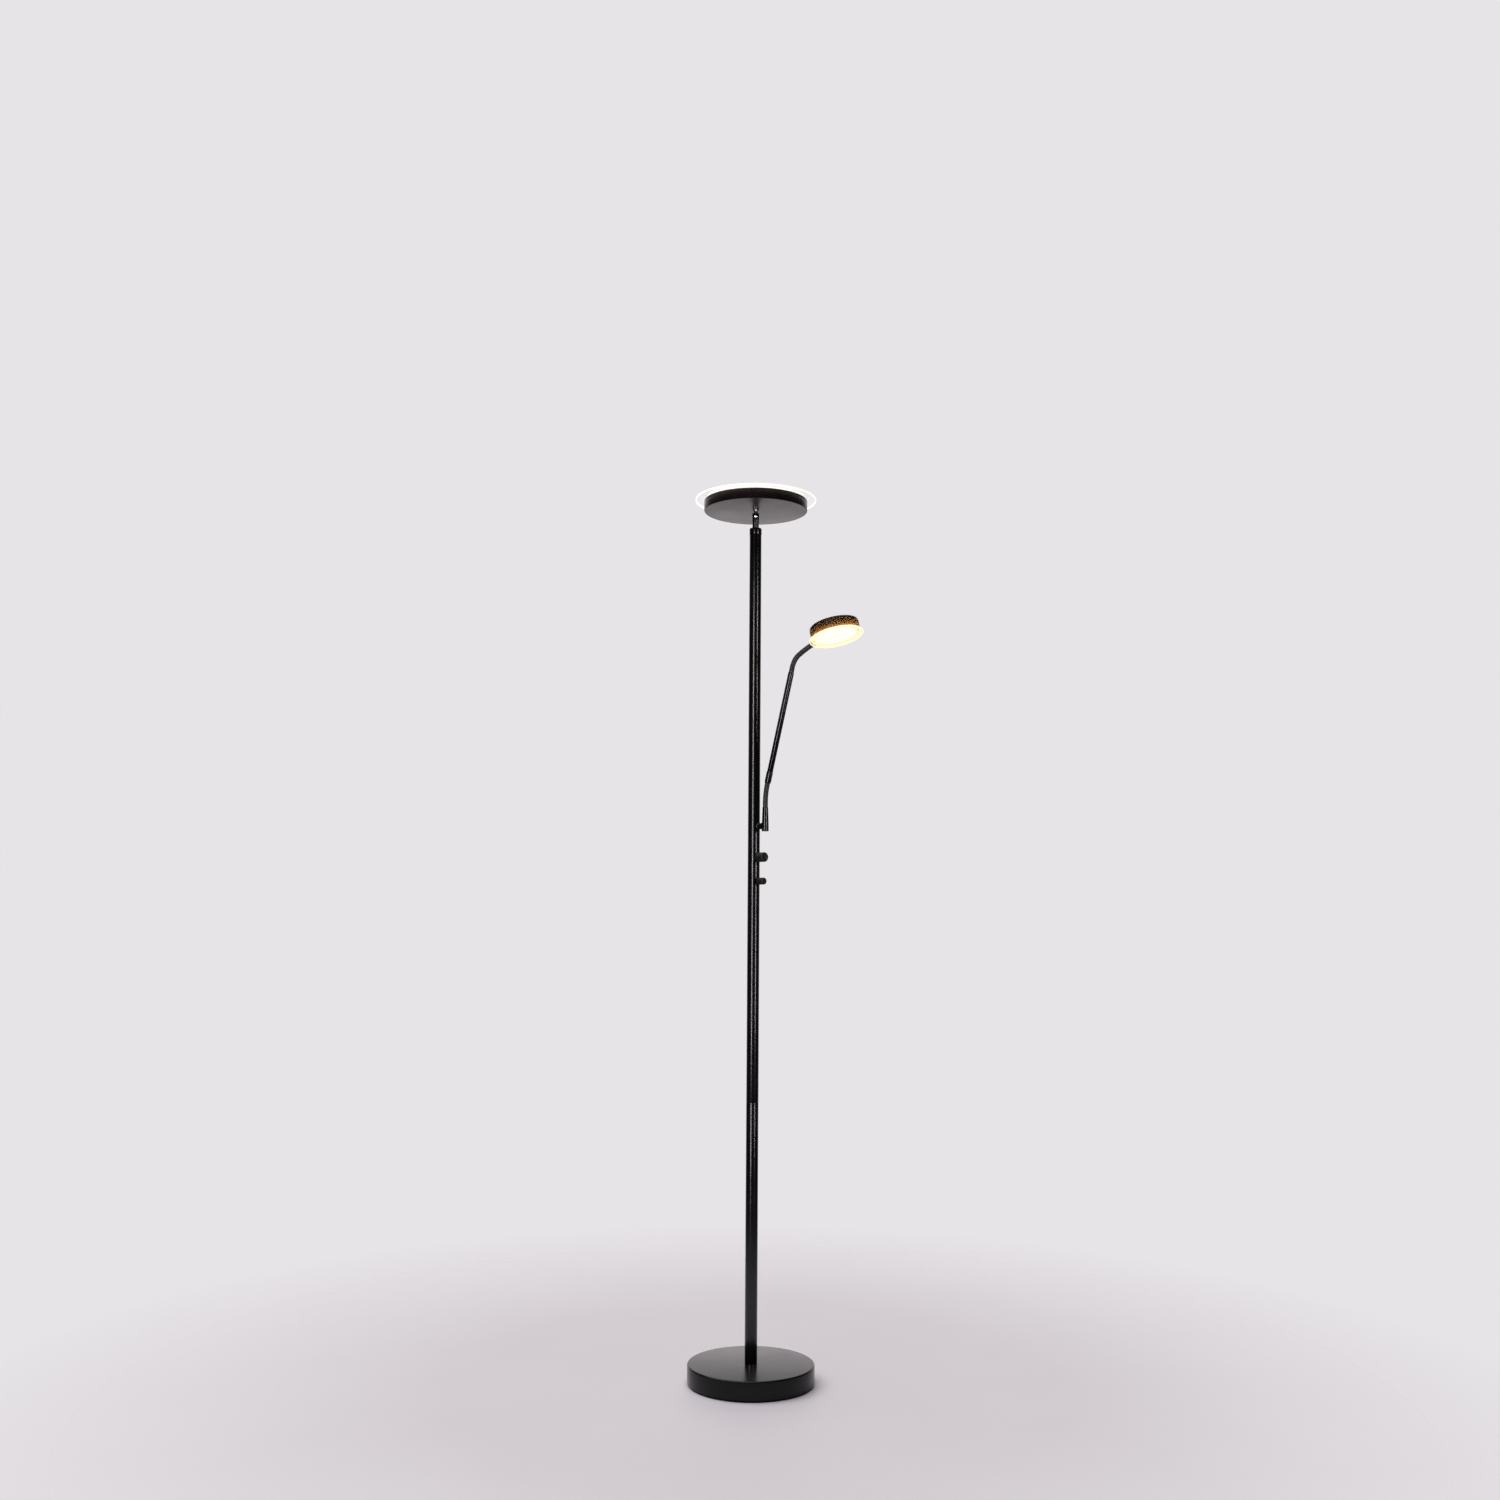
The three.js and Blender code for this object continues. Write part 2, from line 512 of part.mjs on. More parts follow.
function mainHead() {
  const bore = 1.8;
  const stemHole = STEM_THREAD + GAP;
  const boreAngle = Math.acos(bore / BALL_RADIUS);
  const stemAngle = Math.acos(STEM_RADIUS / BALL_RADIUS);
  const stud = turned([
    ...arc(0, BALL_HEIGHT, BALL_RADIUS, -boreAngle, stemAngle, 8),
    [STEM_RADIUS, PAN_BOTTOM], [STEM_THREAD, PAN_BOTTOM],
    [STEM_THREAD, PAN_BOTTOM + 9], [bore, PAN_BOTTOM + 9],
    [bore, BALL_HEIGHT - BALL_RADIUS * Math.sin(boreAngle)],
  ], 24);
  const floor = PAN_BOTTOM + PAN_WALL;
  const pan = turned([
    [stemHole, PAN_BOTTOM],
    ...arc(PAN_RADIUS - 2, PAN_BOTTOM + 2, 2, -Math.PI / 2, 0, 3),
    [PAN_RADIUS, PAN_TOP], [PAN_RADIUS - PAN_WALL, PAN_TOP],
    [PAN_RADIUS - PAN_WALL, floor + 1], [PAN_RADIUS - PAN_WALL - 1, floor],
    [stemHole, floor], [stemHole, PAN_BOTTOM],
  ], LARGE_ROUND);
  const plateBottom = floor + 9.5;
  const plateTop = plateBottom + 2;
  const plate = turned([
    [12, plateBottom], [80, plateBottom], [80, floor], [84, floor], [84, plateBottom], [100, plateBottom],
    [100, plateTop], [12, plateTop], [12, plateBottom],
  ], LARGE_ROUND);
  const driver = weld(new THREE.BoxGeometry(46, 26, 8.6)).translate(42, 0, floor + 4.6);
  const discBottom = PAN_TOP + 2;
  return assembly(
    piece('ball_stud', stud, chrome),
    piece('stem_nut', hexNut(13, stemHole, floor, floor + 4.5), zincSteel),
    piece('head_pan', pan, powderCoat),
    piece('head_heat_plate', plate, aluminium),
    piece('head_driver', driver, blackPlastic),
    piece('head_led_board', ring(12, 98, plateTop, plateTop + 1.6, LARGE_ROUND), whiteBoard),
    piece('head_diffuser', rod(PAN_RADIUS - PAN_WALL - 0.5, PAN_TOP - 3, PAN_TOP - 1, LARGE_ROUND), opal),
    piece('head_gasket', ring(103, PAN_RADIUS - 0.4, PAN_TOP, discBottom, LARGE_ROUND), blackPlastic),
    piece('head_disc', rod(HEAD_DISC_RADIUS, discBottom, LAMP_HEIGHT, LARGE_ROUND), clearAcrylic),
  );
}

const lamp = assembly(base(), pole(), controls(), armMount(), readingArm(), readingHead(), ballJoint(), mainHead());
lamp.name = 'torchiere_floor_lamp';

export default lamp;
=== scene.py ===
import json
import math

import bpy
from mathutils import Matrix, Vector

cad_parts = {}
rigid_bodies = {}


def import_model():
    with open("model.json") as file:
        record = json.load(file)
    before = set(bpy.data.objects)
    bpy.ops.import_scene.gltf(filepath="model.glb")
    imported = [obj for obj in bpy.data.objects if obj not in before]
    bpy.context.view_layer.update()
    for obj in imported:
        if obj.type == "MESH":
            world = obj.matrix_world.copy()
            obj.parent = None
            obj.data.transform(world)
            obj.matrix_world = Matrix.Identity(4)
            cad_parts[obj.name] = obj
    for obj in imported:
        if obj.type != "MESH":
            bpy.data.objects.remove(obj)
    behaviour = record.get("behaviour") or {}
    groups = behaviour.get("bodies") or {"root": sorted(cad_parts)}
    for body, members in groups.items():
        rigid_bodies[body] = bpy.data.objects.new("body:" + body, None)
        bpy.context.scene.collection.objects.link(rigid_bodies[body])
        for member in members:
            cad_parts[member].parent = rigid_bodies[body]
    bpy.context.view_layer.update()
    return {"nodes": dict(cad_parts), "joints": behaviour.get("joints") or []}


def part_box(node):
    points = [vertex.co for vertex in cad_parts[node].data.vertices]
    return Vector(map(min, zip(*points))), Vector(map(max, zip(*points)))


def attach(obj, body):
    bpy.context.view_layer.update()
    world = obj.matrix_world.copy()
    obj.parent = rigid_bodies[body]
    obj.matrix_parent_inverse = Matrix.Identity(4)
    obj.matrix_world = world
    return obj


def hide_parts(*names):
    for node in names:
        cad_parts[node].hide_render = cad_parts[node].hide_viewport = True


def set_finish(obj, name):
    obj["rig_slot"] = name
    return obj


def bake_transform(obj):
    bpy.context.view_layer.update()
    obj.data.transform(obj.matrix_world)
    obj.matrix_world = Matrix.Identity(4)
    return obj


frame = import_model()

# Lengths of pieces are in millimetres here, and Blender works in metres.
MM = 0.001
WELD = 0.002                    # corners closer than this are one corner
POLE = Matrix.Identity(4)       # the pole's axis is Z through the origin
GAP = 0.3                       # between pieces that rest on each other
TUBE_WALL = 1.0
NECK_BORE = 5.45                # of the holes that the necks end in
SMALL_SIDES = 48                # sides of a turned piece, by its size
TUBE_SIDES = 64
WIDE_SIDES = 144
SHARP = 32                      # degrees: an edge sharper than this isn't shaded smooth
SHARP_ON_NECK = 60
SHARP_ON_RIBS = 28


# ---- places, read from the frame ------------------------------------------------
JOINTS = {joint["name"]: joint for joint in frame["joints"]}


def joint_point(name):
    return Vector(JOINTS[name]["pos_m"])


OUTWARDS = Matrix.Rotation(math.pi / 2, 4, "Y")     # turns Z to +X
INWARDS = Matrix.Rotation(-math.pi / 2, 4, "Y")     # turns Z to -X


def sideways_axis(joint_name):
    """A knob's axis: out from the pole along +X, at the height of its joint."""
    return Matrix.Translation(joint_point(joint_name)) @ OUTWARDS


def frame_from(origin, along, towards):
    """A place whose Z runs along one direction and whose X leans towards another."""
    z_axis = along.normalized()
    x_axis = (towards - towards.dot(z_axis) * z_axis).normalized()
    turn = Matrix((x_axis, z_axis.cross(x_axis), z_axis)).transposed().to_4x4()
    return Matrix.Translation(origin) @ turn


def middle(node):
    low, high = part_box(node)
    return (low + high) / 2


def reading_head_frame():
    """The reading head's own frame: Z is its back, and the neck comes in from -X."""
    disc = frame["nodes"]["reading_disc"].data
    centre = sum((vertex.co for vertex in disc.vertices), Vector()) / len(disc.vertices)
    flat = max(disc.polygons, key=lambda polygon: polygon.area)
    back = flat.normal.copy()
    if back.dot(middle("reading_housing") - centre) < 0:
        back.negate()
    return frame_from(centre, back, centre - joint_point("upper_neck_bend_4"))


DIMMER = sideways_axis("dimmer_turn")
SWITCH = sideways_axis("switch_turn")
BRACKET_HEIGHT = middle("arm_bracket").z
BRACKET = Matrix.Translation((0, 0, BRACKET_HEIGHT)) @ OUTWARDS
GROMMET = Matrix.Translation((0, 0, middle("cord_grommet").z)) @ INWARDS
SOCKET = Matrix.Translation((joint_point("lower_neck_bend").x, 0, 0))
ARM_START = joint_point("lower_neck_bend_3")
ARM_END = joint_point("upper_neck_bend")
ARM = frame_from(ARM_START, ARM_END - ARM_START, Vector((1, 0, 0)))
READING = reading_head_frame()
COLLAR_HEIGHT = (READING.inverted() @ joint_point("upper_neck_bend_4")).z
COLLAR = READING @ Matrix.Translation((0, 0, COLLAR_HEIGHT)) @ INWARDS
BALL_CENTRE = joint_point("head_tilt")
SLOT_DIRECTION = Vector((0, 0, 1)).cross(Vector(JOINTS["head_tilt"]["axis"])) * -1


def fit(node, place=POLE):
    """Radius, bottom and top of a CAD node about a place's Z axis, in millimetres."""
    back = place.inverted()
    corners = [back @ vertex.co for vertex in frame["nodes"][node].data.vertices]
    radius = max(math.hypot(corner.x, corner.y) for corner in corners)
    heights = [corner.z for corner in corners]
    return radius / MM, min(heights) / MM, max(heights) / MM


POLE_RADIUS = fit("pole_tube_3")[0]
SOCKET_REACH = SOCKET.to_translation().x / MM       # from the pole's axis to the socket's


# ---- modelling tools ------------------------------------------------------------
def deselect():
    bpy.ops.object.select_all(action="DESELECT")


def activate(body):
    deselect()
    body.select_set(True)
    bpy.context.view_layer.objects.active = body


def shade(sharp=SHARP):
    """Shades the selected body smooth, up to an angle in degrees."""
    bpy.ops.object.shade_smooth_by_angle(angle=math.radians(sharp))


def rounded(outline, steps=5):
    """An outline's points, with each corner given as (radius, height, fillet) made an arc."""
    points = []
    for i, corner in enumerate(outline):
        here = Vector(corner[:2])
        if len(corner) == 2:
            points.append(here)
            continue
        fillet = corner[2]
        before = (Vector(outline[i - 1][:2]) - here).normalized()
        after = (Vector(outline[(i + 1) % len(outline)][:2]) - here).normalized()
        half = before.angle(after) / 2
        centre = here + (before + after).normalized() * fillet / math.sin(half)
        first = here + before * fillet / math.tan(half) - centre
        last = here + after * fillet / math.tan(half) - centre
        sweep = first.angle_signed(last)
        turns = [Matrix.Rotation(-sweep * step / steps, 2) for step in range(steps + 1)]
        points += [centre + turn @ first for turn in turns]
    return points


def turned(name, outline, sides=SMALL_SIDES, ring=False, sharp=SHARP):
    """A body turned about Z, from an outline of (radius, height) corners. A ring's outline is closed."""
    points = [point * MM for point in rounded(outline)]
    if ring:
        points.append(points[0])
    deselect()
    bpy.ops.mesh.primitive_plane_add(size=MM)
    body = bpy.context.object
    body.name = body.data.name = name
    bpy.ops.object.mode_set(mode="EDIT")
    bpy.ops.mesh.select_mode(type="VERT")
    bpy.ops.mesh.merge(type="CENTER")
    bpy.ops.transform.translate(value=(points[0].x, 0, points[0].y))
    for here, there in zip(points, points[1:]):
        step = there - here
        bpy.ops.mesh.extrude_region_move(TRANSFORM_OT_translate={"value": (step.x, 0, step.y)})
    bpy.ops.mesh.select_all(action="SELECT")
    bpy.ops.mesh.spin(steps=sides, angle=2 * math.pi, center=(0, 0, 0), axis=(0, 0, 1))
    bpy.ops.mesh.select_all(action="SELECT")
    bpy.ops.mesh.remove_doubles(threshold=WELD * MM)
    bpy.ops.mesh.normals_make_consistent(inside=False)
    bpy.ops.object.mode_set(mode="OBJECT")
    shade(sharp)
    return body


def apply_modifiers(body):
    activate(body)
    for modifier in list(body.modifiers):
        bpy.ops.object.modifier_apply(modifier=modifier.name)


def drill(body, cutter):
    """Cuts a tool's shape out of a body, and removes the tool."""
    cut = body.modifiers.new("cut", "BOOLEAN")
    cut.object = cutter
    cut.solver = "EXACT"
    apply_modifiers(body)
    bpy.data.objects.remove(cutter)
    activate(body)
    shade()


def hole_tool(radius, bottom, top, place=POLE):
    """A round cutter along a place's Z axis, between two heights."""
    deselect()
    bpy.ops.mesh.primitive_cylinder_add(
        vertices=SMALL_SIDES, radius=radius * MM, depth=(top - bottom) * MM)
    tool = bpy.context.object
    tool.matrix_world = place @ Matrix.Translation((0, 0, (top + bottom) / 2 * MM))
    bpy.ops.object.transform_apply()
    return tool


def put(body, place):
    """Moves a body that was modelled upright to its place, into its mesh."""
    activate(body)
    body.matrix_world = place
    bpy.ops.object.transform_apply()


def finish_piece(body, material, slot, owner, *nodes, place=POLE):
    """Puts a piece where it belongs, dresses it, and says which body carries it and what it stands for."""
    if place != POLE:
        put(body, place)
    body.data.materials.clear()
    body.data.materials.append(material)
    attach(body, owner)
    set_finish(body, slot)
    if nodes:
        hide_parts(*nodes)
    return body


# ---- material tools -------------------------------------------------------------
def set_range(node, start, end, low, high):
    for socket, number in (("From Min", start), ("From Max", end), ("To Min", low), ("To Max", high)):
        node.inputs[socket].default_value = number


class Finish:
    """A material's node tree, with the texture nodes that these finishes share."""

    def __init__(self, name, **values):
        self.material = bpy.data.materials.new(name)
        self.material.use_nodes = True
        self.tree = self.material.node_tree
        self.shader = self.tree.nodes["Principled BSDF"]
        self.place = self.add("ShaderNodeTexCoord").outputs["Object"]
        for socket, value in values.items():
            self.shader.inputs[socket.replace("_", " ")].default_value = value

    def add(self, kind, **settings):
        node = self.tree.nodes.new(kind)
        for name, value in settings.items():
            setattr(node, name, value)
        return node

    def join(self, start, end):
        self.tree.links.new(start, end)

    def stretched(self, scale, location=(0, 0, 0), rotation=(0, 0, 0), kind="POINT"):
        """The object's coordinates, moved, turned and scaled."""
        node = self.add("ShaderNodeMapping", vector_type=kind)
        node.inputs["Scale"].default_value = scale
        node.inputs["Location"].default_value = location
        node.inputs["Rotation"].default_value = rotation
        self.join(self.place, node.inputs["Vector"])
        return node.outputs["Vector"]

    def noise(self, size, detail=3.0, roughness=0.5, vector=None):
        """Noise whose blotches are about this many millimetres across."""
        node = self.add("ShaderNodeTexNoise")
        node.inputs["Scale"].default_value = 1 / (size * MM)
        node.inputs["Detail"].default_value = detail
        node.inputs["Roughness"].default_value = roughness
        self.join(vector or self.place, node.inputs["Vector"])
        return node.outputs["Fac"]

    def cells(self, size, randomness=1.0, distance="EUCLIDEAN"):
        node = self.add("ShaderNodeTexVoronoi", distance=distance)
        node.inputs["Scale"].default_value = 1 / (size * MM)
        node.inputs["Randomness"].default_value = randomness
        self.join(self.place, node.inputs["Vector"])
        return node

    def spread(self, value, low, high, start=0.3, end=0.7):
        """A value between low and high as the texture goes from start to end."""
        node = self.add("ShaderNodeMapRange")
        set_range(node, start, end, low, high)
        self.join(value, node.inputs["Value"])
        return node.outputs["Result"]

    def tint(self, value, *stops):
        """A colour ramp; each stop is (position, colour)."""
        node = self.add("ShaderNodeValToRGB")
        ramp = node.color_ramp
        while len(ramp.elements) < len(stops):
            ramp.elements.new(1.0)
        for element, (position, colour) in zip(ramp.elements, stops):
            element.position = position
            element.color = (*colour, 1)
        self.join(value, node.inputs["Fac"])
        return node.outputs["Color"]

    def sum(self, first, second, share):
        """One texture plus a share of another."""
        node = self.add("ShaderNodeMath", operation="MULTIPLY_ADD")
        node.inputs[1].default_value = share
        self.join(second, node.inputs[0])
        self.join(first, node.inputs[2])
        return node.outputs["Value"]

    def radius(self, place=POLE):
        """Distance from a place's Z axis, in metres."""
        centred = self.stretched((1, 1, 1), place.to_translation(), place.to_euler(), "TEXTURE")
        flat = self.add("ShaderNodeVectorMath", operation="MULTIPLY")
        flat.inputs[1].default_value = (1, 1, 0)
        length = self.add("ShaderNodeVectorMath", operation="LENGTH")
        self.join(centred, flat.inputs[0])
        self.join(flat.outputs["Vector"], length.inputs[0])
        return length.outputs["Value"]

    def relief(self, height, depth):
        """Bump of about this many millimetres."""
        node = self.add("ShaderNodeBump")
        node.inputs["Distance"].default_value = depth * MM
        node.inputs["Strength"].default_value = 1.0
        self.join(height, node.inputs["Height"])
        self.join(node.outputs["Normal"], self.shader.inputs["Normal"])

    def drive(self, socket, value):
        self.join(value, self.shader.inputs[socket])


def powder_coat(name, dark, light, smooth, rough, gloss=0.22):
    """Satin powder coat: a fine orange peel, with the sheen a little uneven."""
    coat = Finish(name, Specular_IOR_Level=gloss)
    broad = coat.noise(60, detail=2)
    peel = coat.noise(1.1, detail=2, roughness=0.5)
    coat.drive("Base Color", coat.tint(broad, (0.35, dark), (0.65, light)))
    coat.drive("Roughness", coat.spread(coat.sum(broad, peel, 0.25), smooth, rough, 0.4, 0.85))
    coat.relief(peel, 0.003)
    return coat.material


def moulded_plastic():
    """Black plastic from a spark-eroded mould: an even, very fine grain."""
    plastic = Finish("moulded_black_plastic", Specular_IOR_Level=0.4)
    grain = plastic.noise(0.35, detail=4, roughness=0.7)
    broad = plastic.noise(9, detail=2)
    plastic.drive("Base Color", plastic.tint(
        grain, (0.3, (0.005, 0.005, 0.005)), (0.75, (0.013, 0.012, 0.013))))
    plastic.drive("Roughness", plastic.spread(broad, 0.5, 0.62))
    plastic.relief(grain, 0.05)
    return plastic.material


def wound_steel():
    """Blackened steel winding: satin, worn a little brighter in patches."""
    steel = Finish("wound_black_steel", Specular_IOR_Level=0.75)
    patches = steel.noise(7, detail=4, roughness=0.6)
    grain = steel.noise(0.5, detail=2)
    steel.drive("Base Color", steel.tint(
        patches, (0.35, (0.0035, 0.0035, 0.004)), (0.75, (0.010, 0.0095, 0.0095))))
    steel.drive("Roughness", steel.spread(patches, 0.36, 0.5))
    steel.relief(grain, 0.02)
    return steel.material


def grey_cast_iron():
    """Rough casting from a sand mould, with small pits."""
    iron = Finish("grey_cast_iron", Metallic=0.8)
    sand = iron.noise(1.1, detail=5, roughness=0.65)
    pits = iron.cells(3.5).outputs["Distance"]
    iron.drive("Base Color", iron.tint(sand, (0.3, (0.045, 0.043, 0.042)), (0.7, (0.13, 0.125, 0.12))))
    iron.drive("Roughness", iron.spread(sand, 0.65, 0.9))
    iron.relief(iron.sum(sand, pits, 0.4), 0.35)
    return iron.material


def foam_rubber():
    """Closed-cell foam: small round cells."""
    foam = Finish("closed_cell_foam", Specular_IOR_Level=0.3)
    bubbles = foam.cells(0.9).outputs["Distance"]
    broad = foam.noise(14, detail=3)
    foam.drive("Base Color", foam.tint(broad, (0.3, (0.012, 0.012, 0.013)), (0.7, (0.026, 0.026, 0.028))))
    foam.drive("Roughness", foam.spread(bubbles, 0.98, 0.8, 0.1, 0.6))
    foam.relief(bubbles, 0.25)
    return foam.material


def zinc_plate():
    """Turned steel, zinc plated: dull bloom over fine lathe marks."""
    zinc = Finish("zinc_plate", Metallic=1.0)
    bloom = zinc.noise(4, detail=4, roughness=0.6)
    lathe_marks = zinc.noise(0.6, detail=2, vector=zinc.stretched((0.08, 0.08, 1)))
    zinc.drive("Base Color", zinc.tint(bloom, (0.3, (0.42, 0.42, 0.40)), (0.7, (0.62, 0.62, 0.58))))
    zinc.drive("Roughness", zinc.spread(bloom, 0.28, 0.5))
    zinc.relief(lathe_marks, 0.02)
    return zinc.material


def polished_chrome():
    """Mirror chrome, with a faint haze and hairline scratches."""
    chrome = Finish("polished_chrome", Metallic=1.0)
    haze = chrome.noise(2.5, detail=3)
    scratches = chrome.noise(0.25, detail=1, vector=chrome.stretched((1, 1, 0.05)))
    chrome.drive("Base Color", chrome.tint(haze, (0.3, (0.72, 0.73, 0.75)), (0.7, (0.86, 0.86, 0.87))))
    chrome.drive("Roughness", chrome.spread(haze, 0.05, 0.14))
    chrome.relief(scratches, 0.004)
    return chrome.material


def mill_aluminium():
    """Bare rolled sheet, streaked along its rolling direction."""
    sheet = Finish("mill_aluminium", Metallic=1.0)
    rolling = sheet.noise(1.2, detail=3, vector=sheet.stretched((0.03, 1, 1)))
    sheet.drive("Base Color", sheet.tint(rolling, (0.3, (0.62, 0.63, 0.64)), (0.7, (0.80, 0.81, 0.82))))
    sheet.drive("Roughness", sheet.spread(rolling, 0.3, 0.48))
    sheet.relief(rolling, 0.02)
    return sheet.material


def led_board():
    """White solder mask with a grid of raised yellow chips."""
    board = Finish("white_led_board", Specular_IOR_Level=0.4)
    chips = board.cells(7.0, randomness=0.0, distance="CHEBYCHEV").outputs["Distance"]
    mask = board.noise(3, detail=2)
    board.drive("Base Color", board.tint(
        chips, (0.14, (0.85, 0.62, 0.12)), (0.18, (0.80, 0.80, 0.77)), (0.30, (0.86, 0.86, 0.84))))
    board.drive("Roughness", board.spread(mask, 0.4, 0.6))
    raised = board.spread(chips, 1.0, 0.0, 0.16, 0.2)
    board.relief(raised, 0.4)
    return board.material


def opal_sheet(name, place, radius, core, edge, strength):
    """A lit opal diffuser: whitest over the chips and warmer towards its rim."""
    sheet = Finish(name, Emission_Strength=strength, Specular_IOR_Level=0.4)
    outwards = sheet.spread(sheet.radius(place), 0.0, 1.0, 0.0, radius * MM)
    frost = sheet.noise(0.8, detail=2)
    sheet.drive("Base Color", sheet.tint(frost, (0.3, (0.48, 0.45, 0.40)), (0.7, (0.54, 0.51, 0.46))))
    last = [0.8 * part for part in edge]
    sheet.drive("Emission Color", sheet.tint(outwards, (0.8, core), (0.93, edge), (0.97, last)))
    sheet.drive("Roughness", sheet.spread(frost, 0.45, 0.6))
    sheet.relief(frost, 0.02)
    return sheet.material


def clear_acrylic(name, place, radius, body, glow, rim_glow, veil):
    """Clear sheet, lit through its edge: a veil flat on, and bright at its polished rim."""
    sheet = Finish(name, Specular_IOR_Level=0.5, Emission_Strength=1.0)
    rim_width = 3
    outwards = sheet.spread(sheet.radius(place), 0.0, 1.0, (radius - rim_width) * MM, radius * MM)
    film = sheet.noise(18, detail=3)
    weight = sheet.add("ShaderNodeLayerWeight")
    weight.inputs["Blend"].default_value = 0.35
    sheet.drive("Base Color", sheet.tint(film, (0.3, [0.93 * part for part in body]), (0.7, body)))
    sheet.drive("Roughness", sheet.spread(film, 0.03, 0.09))
    sheet.drive("Emission Color", sheet.tint(outwards, (0.3, glow), (0.75, rim_glow)))
    rim = sheet.tint(outwards, (0.0, (0, 0, 0)), (0.72, (veil, veil, veil)), (0.88, (0.85, 0.85, 0.85)))
    flat = sheet.spread(weight.outputs["Fresnel"], veil, veil + 0.1, 0.2, 1.0)
    # The rim is nearly solid, and the veil thickens a little where the sheet is seen on edge.
    solid = sheet.add("ShaderNodeMath", operation="MAXIMUM")
    sheet.join(flat, solid.inputs[0])
    sheet.join(rim, solid.inputs[1])
    sheet.drive("Alpha", solid.outputs["Value"])
    return sheet.material


def cream_plastic():
    """Cream plastic with the lamp's light coming through it."""
    plastic = Finish("cream_plastic", Specular_IOR_Level=0.5, Emission_Strength=0.55)
    clouds = plastic.noise(1.5, detail=3)
    plastic.drive("Base Color", plastic.tint(clouds, (0.3, (0.62, 0.50, 0.32)), (0.7, (0.72, 0.60, 0.40))))
    plastic.drive("Emission Color", plastic.tint(
        clouds, (0.3, (0.82, 0.64, 0.42)), (0.7, (0.95, 0.78, 0.55))))
    plastic.drive("Roughness", plastic.spread(clouds, 0.3, 0.45))
    plastic.relief(clouds, 0.01)
    return plastic.material


def lead_sheath():
    """The leads' rubbery black sheath, scuffed where it was pulled through the pole."""
    sheath = Finish("lead_sheath", Specular_IOR_Level=0.35)
    scuffs = sheath.noise(5, detail=4)
    sheath.drive("Base Color", sheath.tint(
        scuffs, (0.3, (0.018, 0.018, 0.020)), (0.75, (0.045, 0.045, 0.048))))
    sheath.drive("Roughness", sheath.spread(scuffs, 0.55, 0.75))
    sheath.relief(sheath.noise(0.4), 0.02)
    return sheath.material


# ---- finishes -------------------------------------------------------------------
BASE_COAT = powder_coat("satin_black_on_base", dark=(0.0042, 0.0040, 0.0042), light=(0.0068, 0.0064, 0.0066),
                        smooth=0.17, rough=0.25)
BLACK_COAT = powder_coat("satin_black_coat", dark=(0.0030, 0.0028, 0.0030), light=(0.0050, 0.0047, 0.0049),
                         smooth=0.17, rough=0.25, gloss=0.5)
# The pan's coat is black, like the pole's. Its warm brown, lighter tone is painted light: the lamp's warm
# glow painted into its colour.
PAN_BLACK_WITH_PAINTED_WARM_LIGHT = powder_coat("satin_black_with_painted_warm_light", dark=(0.021, 0.014, 0.013), light=(0.033, 0.022, 0.021),
                       smooth=0.26, rough=0.34)
# The reading housing's coat is black. Its warm brown, lighter tone is painted light: the reading lamp's
# orange glow painted into its colour, on top of the real spill light.
HOUSING_BLACK_WITH_PAINTED_GLOW = powder_coat("satin_black_cast_with_painted_glow", dark=(0.018, 0.015, 0.012), light=(0.028, 0.023, 0.018),
                        smooth=0.30, rough=0.42)
PLASTIC = moulded_plastic()
WOUND = wound_steel()
IRON = grey_cast_iron()
FOAM = foam_rubber()
ZINC = zinc_plate()
CHROME = polished_chrome()
ALUMINIUM = mill_aluminium()
BOARD = led_board()
SHEATH = lead_sheath()
CREAM = cream_plastic()


# ---- base -----------------------------------------------------------------------
def make_base():
    radius, bottom, top = fit("base_cover")
    wall = 1.2
    inside = radius - wall
    rim = bottom + 0.02
    stud_bore = 5.3
    cover = turned("spun_base_cover", [
        (stud_bore, top), (radius, top, 3.2), (radius, rim, 0.5), (inside, rim, 0.4),
        (inside, top - wall, 2.0), (stud_bore, top - wall),
    ], WIDE_SIDES, ring=True)
    cord_bore = 5.3
    drill(cover, hole_tool(cord_bore, radius - 4, radius + 4, GROMMET))
    finish_piece(cover, BASE_COAT, "powder_black", "stand", "base_cover")

    radius, bottom, top = fit("base_pad")
    groove_depth = 0.8
    grooves = []
    for centre in (50, 75, 100):
        grooves += [(centre - 1.5, bottom), (centre - 1.0, bottom + groove_depth),
                    (centre + 1.0, bottom + groove_depth), (centre + 1.5, bottom)]
    pad = turned("grooved_base_pad", [
        (0, bottom), *grooves, (radius, bottom, 0.6), (radius, top, 0.4), (0, top),
    ], WIDE_SIDES)
    finish_piece(pad, FOAM, "pad_foam", "stand", "base_pad")

    radius, start, end = fit("cord_grommet", GROMMET)
    bore = 3.0
    waist = 4.9
    outer_lip = end - 1.3
    inner_lip = start + 2.0
    grommet = turned("cord_inlet_grommet", [
        (bore, end, 0.7), (radius, end, 0.6), (radius, outer_lip, 0.3), (waist, outer_lip),
        (waist, inner_lip), (radius, inner_lip), (radius, start, 0.5), (bore, start),
    ], ring=True)
    finish_piece(grommet, PLASTIC, "black_plastic", "stand", "cord_grommet", place=GROMMET)


